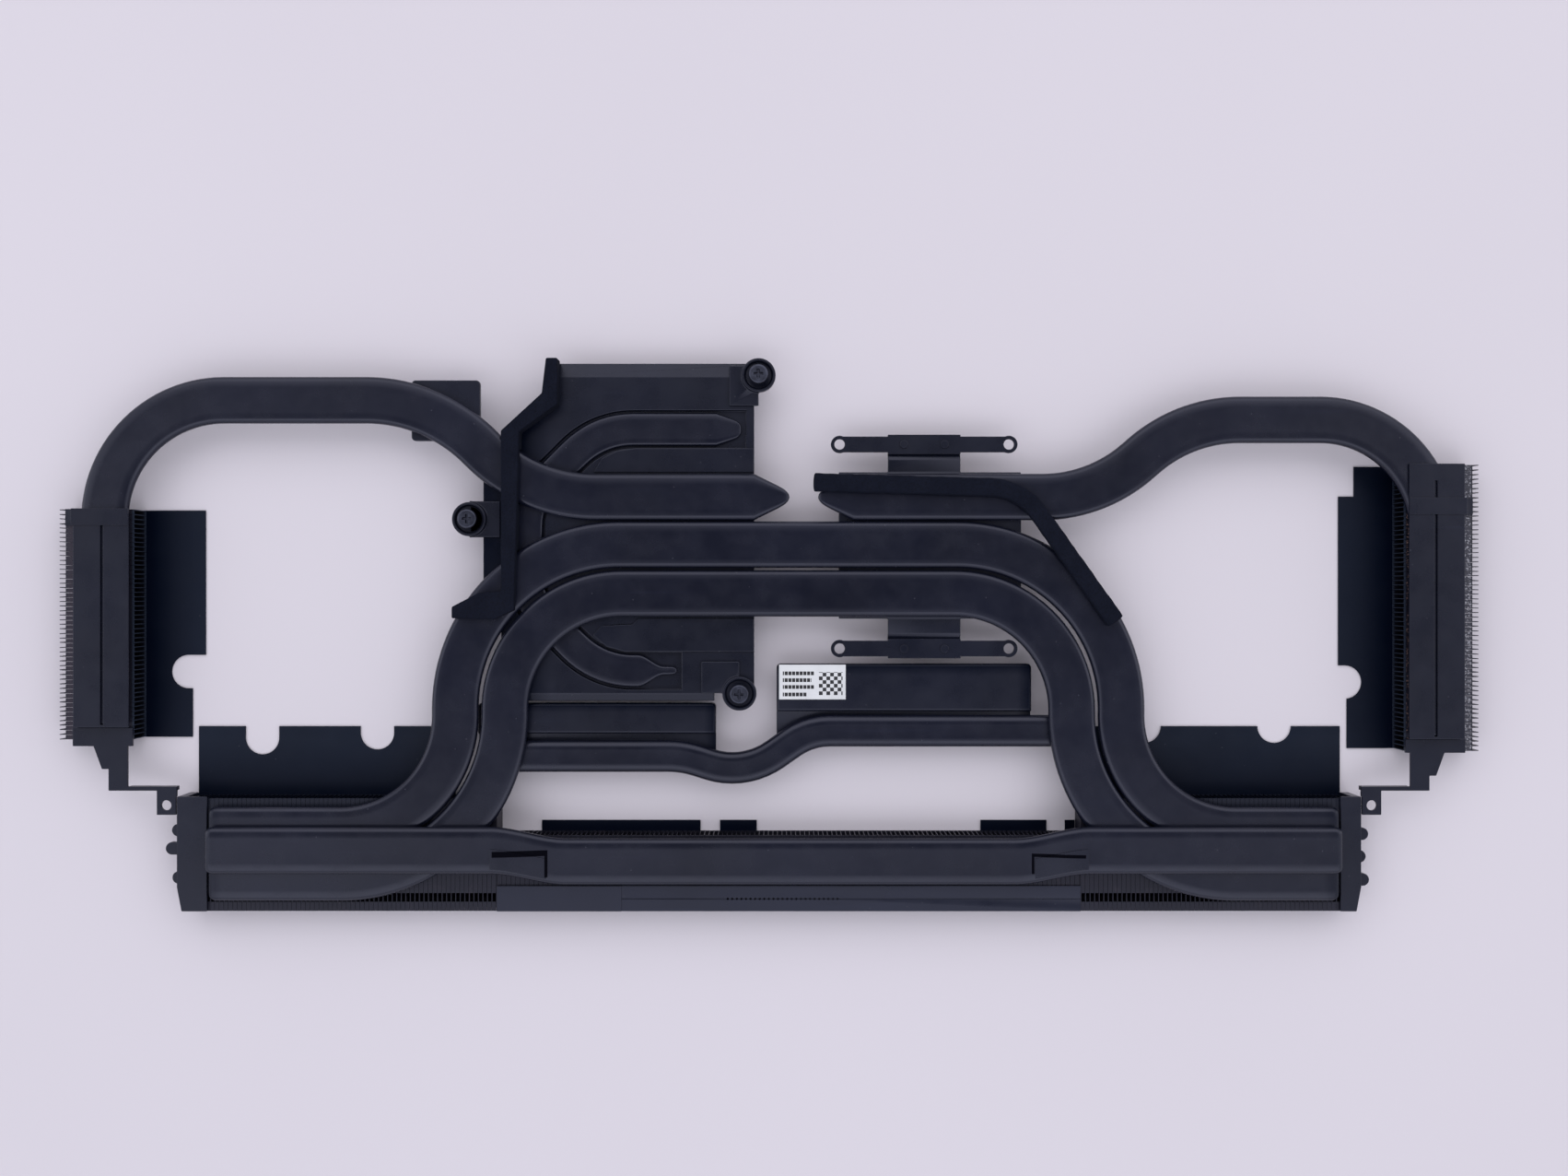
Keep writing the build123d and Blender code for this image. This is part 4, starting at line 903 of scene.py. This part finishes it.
class HEATSINK_OT_plates(bpy.types.Operator):
    """Finish the coated plates, covers and brackets with rounded edges."""

    bl_idname = "heatsink.plates"
    bl_label = "Plates and covers"

    def execute(self, context):
        colours = context.scene.heatsink_colours
        # the chip plate and the regulator trays carry painted shade from their fades
        plain, chip, left_tray, right_tray = (
            coated(name, colours.plate, 0.29, 1100.0, 0.006, wear=0.15, specular=0.42, painted_shade_fades=painted_shade_fades)
            for name, painted_shade_fades in (
                ("plate_matt_black", ()), ("chip_plate_black", CHIP_PAINTED_SHADE),
                ("left_tray_black", LEFT_TRAY_PAINTED_SHADE), ("right_tray_black", RIGHT_TRAY_PAINTED_SHADE),
            )
        )
        # rear cover strip: the plate coat made lighter as painted light, with real rubbed wear
        strip = coated("strip_painted_light_matt_black", shade(colours.plate, 1.5), 0.32, 1100.0, 0.006, wear=0.6)
        # the tabs take the same painted shadow lines as the rear pipe
        tabs = paint_tab_shadows(coated("tab_matt_black", colours.plate, 0.27, 1100.0, 0.006), TAB_PAINTED_SHADOWS)
        own = {
            "graphics_base_plate": chip,
            "graphics_plate_islands": chip,
            "regulator_plate_left": left_tray,
            "regulator_plate_right": right_tray,
            "rear_cover_strip": strip,
            "rear_pipe_tab_left": tabs,
            "rear_pipe_tab_right": tabs,
        }
        for node, width in PLATES.items():
            crease = ROUND_CREASE if node in ROUND_PLATES else FLAT_CREASE
            rounded_copy(node, width, own.get(node, plain), angle=crease)
        return {"FINISHED"}


class HEATSINK_OT_sheets(bpy.types.Operator):
    """Finish the thin air guide sheets, with painted shade that darkens them towards the fins."""

    bl_idname = "heatsink.sheets"
    bl_label = "Air guide sheets"

    def execute(self, context):
        colour = context.scene.heatsink_colours.sheet
        width = in_millimetres(context.scene.heatsink_sizes).sheet_round
        for name, painted_shade_fades, sides in (
            ("left_sheet_black", LEFT_SHEET_PAINTED_SHADE, ("left",)),
            ("right_sheet_black", RIGHT_SHEET_PAINTED_SHADE, ("right",)),
            ("rear_sheet_black", REAR_SHEET_PAINTED_SHADE, ("rear_left", "rear_middle", "rear_right")),
        ):
            film = coated(name, colour, 0.4, 500.0, 0.005, specular=0.24, painted_shade_fades=painted_shade_fades)
            for side in sides:
                rounded_copy("air_guide_" + side, width, film)
        return {"FINISHED"}


class HEATSINK_OT_copper(bpy.types.Operator):
    """Finish the copper cold plates."""

    bl_idname = "heatsink.copper"
    bl_label = "Cold plates"

    def execute(self, context):
        width = in_millimetres(context.scene.heatsink_sizes).copper_round
        colour = context.scene.heatsink_colours.copper
        material = brushed("bare_copper", colour, 0.3, (0.04, 1.0, 1.0), 0.004)
        for node in ("graphics_cold_plate", "processor_cold_plate"):
            rounded_copy(node, width, material)
        return {"FINISHED"}


class HEATSINK_OT_screws(bpy.types.Operator):
    """Build the three captive screws with thread, groove and cross recess, and finish their clips."""

    bl_idname = "heatsink.screws"
    bl_label = "Captive screws"

    def execute(self, context):
        sizes = in_millimetres(context.scene.heatsink_sizes)
        colour = context.scene.heatsink_colours.screw
        material = brushed("screw_black_steel", colour, 0.34, (1.0, 1.0, 1.0), 0.004)
        clip = brushed("clip_black_steel", shade(colour, 0.8), 0.4, (1.0, 0.1, 1.0), 0.003)
        for side, place in SCREWS.items():
            points, faces = screw_surface(place, sizes)
            piece = mesh_piece("screw_turned_" + side, points, [faces], [material], crease=40.0)
            stand_in(piece, "captive_screw_" + side)
            repaint("retaining_clip_" + side, clip)
        return {"FINISHED"}


class HEATSINK_OT_springs(bpy.types.Operator):
    """Build the three springs under the screw heads."""

    bl_idname = "heatsink.springs"
    bl_label = "Screw springs"

    def execute(self, context):
        sizes = in_millimetres(context.scene.heatsink_sizes)
        colour = shade(context.scene.heatsink_colours.screw, 1.3)
        material = brushed("spring_black_steel", colour, 0.3, (1.0, 1.0, 0.2), 0.003)
        for side, place in SCREWS.items():
            points, groups = spring_surface(place, sizes)
            piece = mesh_piece("screw_spring_coil_" + side, points, groups, [material], crease=60.0)
            stand_in(piece, "screw_spring_" + side)
            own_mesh(piece)
        return {"FINISHED"}


class HEATSINK_OT_pads(bpy.types.Operator):
    """Build the soft thermal pads under the plates."""

    bl_idname = "heatsink.pads"
    bl_label = "Thermal pads"

    def execute(self, context):
        material = porous("soft_grey_pad", context.scene.heatsink_colours.pad, 2600.0, 0.02, 0.75)
        for node in ("regulator_pad_left", "regulator_pad_right", "pipe_support_pad"):
            low, high = (np.array(corner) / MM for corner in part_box(node))
            soft_pad_piece(node, [(low, high)], material)
        wide, deep = MEMORY_PAD_SIZE
        under, over = MEMORY_PAD_Z
        corner = np.array([wide / 2, deep / 2, (over - under) / 2])
        middles = [np.array([x, y, (over + under) / 2]) for x, y in MEMORY_PADS]
        blocks = [(middle - corner, middle + corner) for middle in middles]
        soft_pad_piece("memory_pads", blocks, material)
        return {"FINISHED"}


class HEATSINK_OT_seals(bpy.types.Operator):
    """Build the foam strip that seals the right fan bay and finish the foam wall of the left one."""

    bl_idname = "heatsink.seals"
    bl_label = "Foam seals"

    def execute(self, context):
        material = porous("black_foam", context.scene.heatsink_colours.seal, 2200.0, 0.05, 0.85)
        points, groups = foam_strip()
        strip = mesh_piece("seal_strip_right_foam", points, groups, [material], crease=60.0)
        stand_in(strip, "seal_strip_right")
        width = in_millimetres(context.scene.heatsink_sizes).seal_round
        wall = rounded_copy("wall_seal_left", width, material, "_foam")
        return {"FINISHED"}


class HEATSINK_OT_sticker(bpy.types.Operator):
    """Build the white sticker with plain dark bars and a plain chequered square."""

    bl_idname = "heatsink.sticker"
    bl_label = "Sticker"

    def execute(self, context):
        colours = context.scene.heatsink_colours
        film = paper_finish("white_film", colours.sticker, 0.42)
        ink = paper_finish("grey_ink", colours.ink, 0.5)
        sticker_piece(in_millimetres(context.scene.heatsink_sizes).sticker_gauge, film, ink)
        return {"FINISHED"}


class HEATSINK_OT_stage(bpy.types.Operator):
    """Set the floor, the camera straight above the module, the lamps and the room's light."""

    bl_idname = "heatsink.stage"
    bl_label = "Floor, camera and light"

    def execute(self, context):
        light = context.scene.heatsink_light
        build_floor(context.scene.heatsink_colours.floor)
        build_room(context.scene, light.room)
        lamp("front_lamp", (0.02, 0.44, 0.46), (1.2, 0.5), light.front_lamp, (1.0, 0.98, 0.97))
        lamp("rear_lamp", (-0.03, -0.32, 0.52), (1.2, 0.3), light.rear_lamp, (0.95, 0.97, 1.0))
        lamp("left_lamp", (-0.55, 0.03, 0.3), (0.25, 0.5), light.side_lamp, (0.97, 0.98, 1.0))
        lamp("right_lamp", (0.55, 0.06, 0.3), (0.25, 0.5), light.side_lamp, (1.0, 0.98, 0.96))
        camera = bpy.data.cameras.new("camera_above")
        camera.lens = light.lens
        camera.sensor_width = 36.0
        camera.clip_start = 0.01
        camera.clip_end = 20.0
        eye = bpy.data.objects.new("camera_above", camera)
        eye.location = light.eye
        context.scene.collection.objects.link(eye)
        context.scene.camera = eye
        context.scene.view_settings.view_transform = "Standard"
        return {"FINISHED"}


def repaint(node, material):
    """Give a node that keeps its built shape a finer material in all its slots."""
    kept = frame["nodes"][node]
    if not kept.data.materials:
        kept.data.materials.append(material)
    for slot in kept.material_slots:
        slot.material = material


def screw_surface(place, sizes):
    """Turned screw: point (i, j) lies at radius r i and height z i, at angle j round the axis.

    Along the thread the radius falls by the thread depth times a triangle wave of height / pitch
    less angle / full turn. On the head's face the height falls by the recess depth where the point
    lies inside a cross, |x| and |y| being compared with its half width and half length.
    """
    angle = np.linspace(0, 2 * np.pi, 72, endpoint=False)
    low, high = THREAD_ENDS
    thread_z = np.arange(THREAD_LOW + low, THREAD_HIGH - high, sizes.thread_pitch / 7)
    thread = np.column_stack([np.full(len(thread_z), THREAD_R), thread_z])
    tip = np.array([[0.0, THREAD_LOW], [TIP_R, THREAD_LOW]])
    neck = np.array([
        [GROOVE_R, THREAD_HIGH], [GROOVE_R, GROOVE_TOP], [SHANK_R, GROOVE_TOP],
        [SHANK_R, HEAD_LOW], [HEAD_R - HEAD_BREAK, HEAD_LOW], [HEAD_R, HEAD_LOW + HEAD_BREAK],
    ])
    corner = np.radians(np.linspace(0, 90, 6))[:, None]
    rim = HEAD_ROUND * np.hstack([np.cos(corner), np.sin(corner)])
    rim += [HEAD_R - HEAD_ROUND, HEAD_HIGH - HEAD_ROUND]
    face_r = np.linspace(HEAD_R - HEAD_ROUND, 0.0, 30)[1:]
    face = np.column_stack([face_r, np.full(len(face_r), HEAD_HIGH)])
    profile = np.concatenate([tip, thread, neck, rim, face])
    radius = np.repeat(profile[:, :1], len(angle), axis=1)
    height = np.repeat(profile[:, 1:], len(angle), axis=1)
    rows = slice(len(tip), len(tip) + len(thread))
    wave = np.abs(2 * ((height[rows] / sizes.thread_pitch - angle / (2 * np.pi)) % 1.0) - 1)
    radius[rows] -= sizes.thread_depth * wave
    x = radius * np.cos(angle)
    y = radius * np.sin(angle)
    arms = []
    for near, far in ((np.abs(x), np.abs(y)), (np.abs(y), np.abs(x))):
        inside = np.clip((sizes.recess_width / 2 - near) / RECESS_BLEND + 0.5, 0, 1)
        arms.append(inside * np.clip((sizes.recess_length / 2 - far) / (3 * RECESS_BLEND) + 0.5, 0, 1))
    on_face = (height > HEAD_HIGH - 1e-6) & (radius < HEAD_R - HEAD_ROUND - 1e-6)
    height = height - sizes.recess_depth * np.maximum(*arms) * on_face
    points = np.stack([x + place[0], y + place[1], height], axis=-1).reshape(-1, 3)
    return points, grid_quads(len(profile), len(angle))


def spring_surface(place, sizes):
    """Coil: a circle of the wire's radius carried along a helix whose first and last parts lie flat."""
    share = np.linspace(0, 1, 145)
    turn = share * 2 * np.pi * SPRING_TURNS
    wire = sizes.spring_wire / 2
    climb = np.clip((share - 0.1) / 0.8, 0, 1)
    outward = np.stack([np.cos(turn), np.sin(turn), np.zeros_like(turn)], axis=1)
    centre = outward * (sizes.spring_radius - wire) + np.array([*place, 0.0])
    centre[:, 2] = SPRING_LOW + wire + (SPRING_HIGH - SPRING_LOW - 2 * wire) * climb
    around = np.linspace(0, 2 * np.pi, 10, endpoint=False)
    ring = outward[:, None, :] * np.cos(around)[None, :, None] + UP * np.sin(around)[None, :, None]
    points = (centre[:, None, :] + wire * ring).reshape(-1, 3)
    first = np.arange(10)[None, ::-1]
    last = np.arange(10)[None, :] + (len(share) - 1) * 10
    return points, [grid_quads(len(share), 10), first, last]


def soft_block(low, high, round_xy=0.6, inset=0.22, step=1.2):
    """Soft block: a rounded rectangle carried up a profile that bulges between the two faces.

    Point (i, j) = centre + (side x j * (a - r) + cos * r, side y j * (b - r) + sin * r) with the
    half sizes a and b less the inset i, and the faces filled by rings drawn in to the middle.
    """
    half = (high - low)[:2] / 2
    middle = (high + low)[:2] / 2
    corner = np.radians(np.linspace(0, 90, 6))
    sides = [(1, 1), (-1, 1), (-1, -1), (1, -1)]
    angle = np.concatenate([corner + np.pi / 2 * turn for turn in range(4)])
    side = np.repeat(np.array(sides, float), len(corner), axis=0)
    outline = side * (half - round_xy) + round_xy * np.column_stack([np.cos(angle), np.sin(angle)])
    ring_end = np.roll(outline, -1, axis=0)
    parts = np.maximum(1, np.ceil(np.linalg.norm(ring_end - outline, axis=1) / step)).astype(int)
    base = np.repeat(np.arange(len(outline)), parts)
    offset = np.arange(len(base)) - np.repeat(np.cumsum(parts) - parts, parts)
    outline = outline[base] + (ring_end - outline)[base] * (offset / parts[base])[:, None]
    bulge = np.radians(np.linspace(-90, 90, 9))
    tall = high[2] - low[2]
    shrink = inset * (1 - np.cos(bulge))
    rise = (high[2] + low[2]) / 2 + tall / 2 * np.sin(bulge)
    scale = (half[None, :] - shrink[:, None]) / half[None, :]
    body = outline[None, :, :] * scale[:, None, :]
    in_steps = np.linspace(0.0, 1.0, 5)[:-1]
    under = outline[None] * scale[:1, None, :] * in_steps[:, None, None]
    over = outline[None] * scale[-1:, None, :] * in_steps[::-1, None, None]
    flat = np.concatenate([under, body, over]) + middle
    heights = np.concatenate([np.full(len(under), low[2]), rise, np.full(len(over), high[2])])
    tall_grid = np.broadcast_to(heights[:, None, None], flat.shape[:2] + (1,))
    points = np.concatenate([flat, tall_grid], axis=-1)
    return points.reshape(-1, 3), grid_quads(len(heights), len(outline))


def soft_pad_piece(node, blocks, material):
    """Soft blocks of one node as one padded piece."""
    points, faces = [], []
    for low, high in blocks:
        block_points, block_faces = soft_block(low, high)
        faces.append(block_faces + sum(len(part) for part in points))
        points.append(block_points)
    piece = mesh_piece(node + "_soft", np.concatenate(points), faces, [material], crease=50.0)
    stand_in(piece, node)


def foam_strip():
    """Foam strip: a superellipse section carried along its route, rounded off at both cut ends.

    Section point j = (w / 2 * |cos|^k, h / 2 * |sin|^k) with the signs of cos and sin and k = 2/5.
    The section swells and shrinks a little along the route, by two sine waves.
    """
    route = rounded_route(SEAL_CORNERS, [SEAL_BEND_R], step=0.9)
    total = arc_lengths(route)[-1]
    rise = np.sin(np.linspace(0, np.pi / 2, 9)) * SEAL_CUT
    even = np.linspace(SEAL_CUT, total - SEAL_CUT, 110)
    lengths = np.unique(np.concatenate([SEAL_CUT - rise, even, total - SEAL_CUT + rise]))
    flat, across = stations_on(route, lengths)
    past = np.minimum(lengths, total - lengths)
    closing = np.sqrt(np.clip(1 - np.clip(1 - past / SEAL_CUT, 0, 1) ** 4, 0, 1))[:, None]
    swell = SEAL_SWELL[0] * np.sin(lengths * 1.7) + SEAL_SWELL[1] * np.sin(lengths * 0.61 + 1.0)
    swell = swell[:, None]
    angle = np.linspace(0, 2 * np.pi, 32, endpoint=False)
    x = SEAL_WIDTH / 2 * np.sign(np.cos(angle)) * np.abs(np.cos(angle)) ** 0.4
    z = np.sign(np.sin(angle)) * np.abs(np.sin(angle)) ** 0.4
    low, high = SEAL_Z
    half = (high - low) / 2 - SEAL_SLACK + swell * 0.5
    aside = x[None, :] * (0.96 + swell * 0.3) * closing
    level = half + half * closing * z[None, :]
    middle = np.column_stack([flat, np.full(len(flat), low)])
    grid = middle[:, None, :] + across[:, None, :] * aside[..., None] + UP * level[..., None]
    return grid.reshape(-1, 3), [grid_quads(len(lengths), len(angle))]


def sticker_piece(gauge, film, ink):
    """White film: a grid over its rectangle whose height rises a little towards one corner.

    Height = base + lift * (share of x past 0.8)^2 * (share of y past 0.7)^2. The cells whose middle
    lies in a bar, or in every other field of the chequered square, take the ink.
    """
    low, high = (np.array(corner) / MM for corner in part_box("sticker"))
    columns, rows = STICKER_GRID
    x, y = np.meshgrid(np.linspace(low[0], high[0], columns), np.linspace(low[1], high[1], rows))
    past_x = np.clip((x - low[0]) / (high[0] - low[0]) / 0.2 - 4, 0, 1)
    past_y = np.clip((y - low[1]) / (high[1] - low[1]) / 0.3 - 7 / 3, 0, 1)
    height = low[2] + 0.01 + STICKER_LIFT * past_x ** 2 * past_y ** 2
    points = np.stack([x, y, height], axis=-1).reshape(-1, 3)
    first = np.arange(rows - 1)[:, None] * columns + np.arange(columns - 1)[None, :]
    quads = np.stack([first, first + 1, first + columns + 1, first + columns], axis=-1).reshape(-1, 4)
    piece = mesh_piece("sticker_film", points, [quads], [film, ink], reach=0)
    x, y = points[quads, :2].mean(axis=1).T
    inked = np.zeros(len(quads), bool)
    solid = (x / DASH) % 1.0 >= DASH_GAP
    for left, right, bottom, top in STICKER_BARS:
        inked |= (x > left) & (x < right) & (y > bottom) & (y < top) & solid
    left, right, bottom, top = STICKER_SQUARE
    field = np.floor((x - left) / CHEQUER) + np.floor((y - bottom) / CHEQUER)
    inked |= (x > left) & (x < right) & (y > bottom) & (y < top) & (field % 2 == 0)
    piece.data.polygons.foreach_set("material_index", inked.astype(np.int32))
    thickness = piece.modifiers.new("Film thickness", "SOLIDIFY")
    thickness.thickness = gauge * MM
    thickness.offset = 1.0
    stand_in(piece, "sticker")


def build_floor(colour):
    """Pale plain floor just under the module."""
    corners = [(x * FLOOR_HALF, y * FLOOR_HALF, FLOOR_Z) for x, y in ((-1, -1), (1, -1), (1, 1), (-1, 1))]
    mesh = bpy.data.meshes.new("floor")
    mesh.from_pydata(corners, [], [(0, 1, 2, 3)])
    n = Nodes.named("floor_paper")
    mottle = n.span(n.noise(2.0, detail=3.0), 0.3, 0.7)
    n.surface(n.mix(mottle, shade(colour, 0.97), shade(colour, 1.02)), 0.85, Specular_IOR_Level=0.1)
    glow = n.math("MULTIPLY", n.add("LightPath").outputs["Is Camera Ray"], FLOOR_GLOW)
    n.feed(n.shader, {"Emission Color": (*colour, 1.0), "Emission Strength": glow})
    mesh.materials.append(n.owner)
    floor = bpy.data.objects.new("floor", mesh)
    bpy.context.scene.collection.objects.link(floor)


def build_room(scene, strength):
    """Light of the room: even all round, with a dim patch straight above, longer in X than in Y."""
    n = Nodes(bpy.data.worlds.new("room"), "Background")
    way = n.add("TexCoord").outputs["Generated"]
    flat = n.add("Mapping", {"Vector": way, "Scale": (ROOM_PATCH_NARROWING, 1.0, 0.0)}).outputs["Vector"]
    aside = n.add("VectorMath", {0: flat}, operation="LENGTH").outputs["Value"]
    span = {
        "Value": aside, "From Min": 0.0, "From Max": ROOM_PATCH_REACH,
        "To Min": strength * ROOM_PATCH_SHARE, "To Max": strength,
    }
    light = n.add("MapRange", span, interpolation_type="SMOOTHSTEP").outputs["Result"]
    n.feed(n.shader, {"Color": ROOM_TINT, "Strength": light})
    scene.world = n.owner


def lamp(name, place, size, power, colour):
    """Rectangular lamp at a place, turned towards the module."""
    light = bpy.data.lights.new(name, "AREA")
    light.shape = "RECTANGLE"
    light.size, light.size_y = size
    light.energy = power
    light.color = colour
    lamp_object = bpy.data.objects.new(name, light)
    lamp_object.location = place
    way = Vector(LAMP_AIM) - Vector(place)
    lamp_object.rotation_euler = way.to_track_quat("-Z", "Y").to_euler()
    bpy.context.scene.collection.objects.link(lamp_object)


class HEATSINK_PT_panel(bpy.types.Panel):
    """Sidebar panel with the module's sizes, colours, light and build steps."""

    bl_idname = "HEATSINK_PT_panel"
    bl_label = "Heat sink"
    bl_space_type = "VIEW_3D"
    bl_region_type = "UI"
    bl_category = "Heat sink"

    def draw(self, context):
        for owner, kind in GROUPS.items():
            box = self.layout.box()
            for name in kind.__annotations__:
                box.prop(getattr(context.scene, owner), name)
        for step in STEPS:
            self.layout.operator(step.bl_idname)


GROUPS = {
    "heatsink_sizes": HeatSinkSizes,
    "heatsink_colours": HeatSinkColours,
    "heatsink_light": HeatSinkLight,
}
STEPS = (
    HEATSINK_OT_pipes,
    HEATSINK_OT_fins,
    HEATSINK_OT_plates,
    HEATSINK_OT_sheets,
    HEATSINK_OT_copper,
    HEATSINK_OT_screws,
    HEATSINK_OT_springs,
    HEATSINK_OT_pads,
    HEATSINK_OT_seals,
    HEATSINK_OT_sticker,
    HEATSINK_OT_stage,
)


def register():
    """Register the classes and hang the property groups on the scene."""
    for item in (*GROUPS.values(), *STEPS, HEATSINK_PT_panel):
        bpy.utils.register_class(item)
    for owner, kind in GROUPS.items():
        setattr(bpy.types.Scene, owner, bpy.props.PointerProperty(type=kind))


def unregister():
    """Take the property groups and the classes away again."""
    for owner in GROUPS:
        delattr(bpy.types.Scene, owner)
    for item in (HEATSINK_PT_panel, *STEPS, *GROUPS.values()):
        bpy.utils.unregister_class(item)


def main():
    """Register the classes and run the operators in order."""
    register()
    bpy.ops.heatsink.pipes()
    bpy.ops.heatsink.fins()
    bpy.ops.heatsink.plates()
    bpy.ops.heatsink.sheets()
    bpy.ops.heatsink.copper()
    bpy.ops.heatsink.screws()
    bpy.ops.heatsink.springs()
    bpy.ops.heatsink.pads()
    bpy.ops.heatsink.seals()
    bpy.ops.heatsink.sticker()
    bpy.ops.heatsink.stage()


if __name__ == "__main__":
    main()
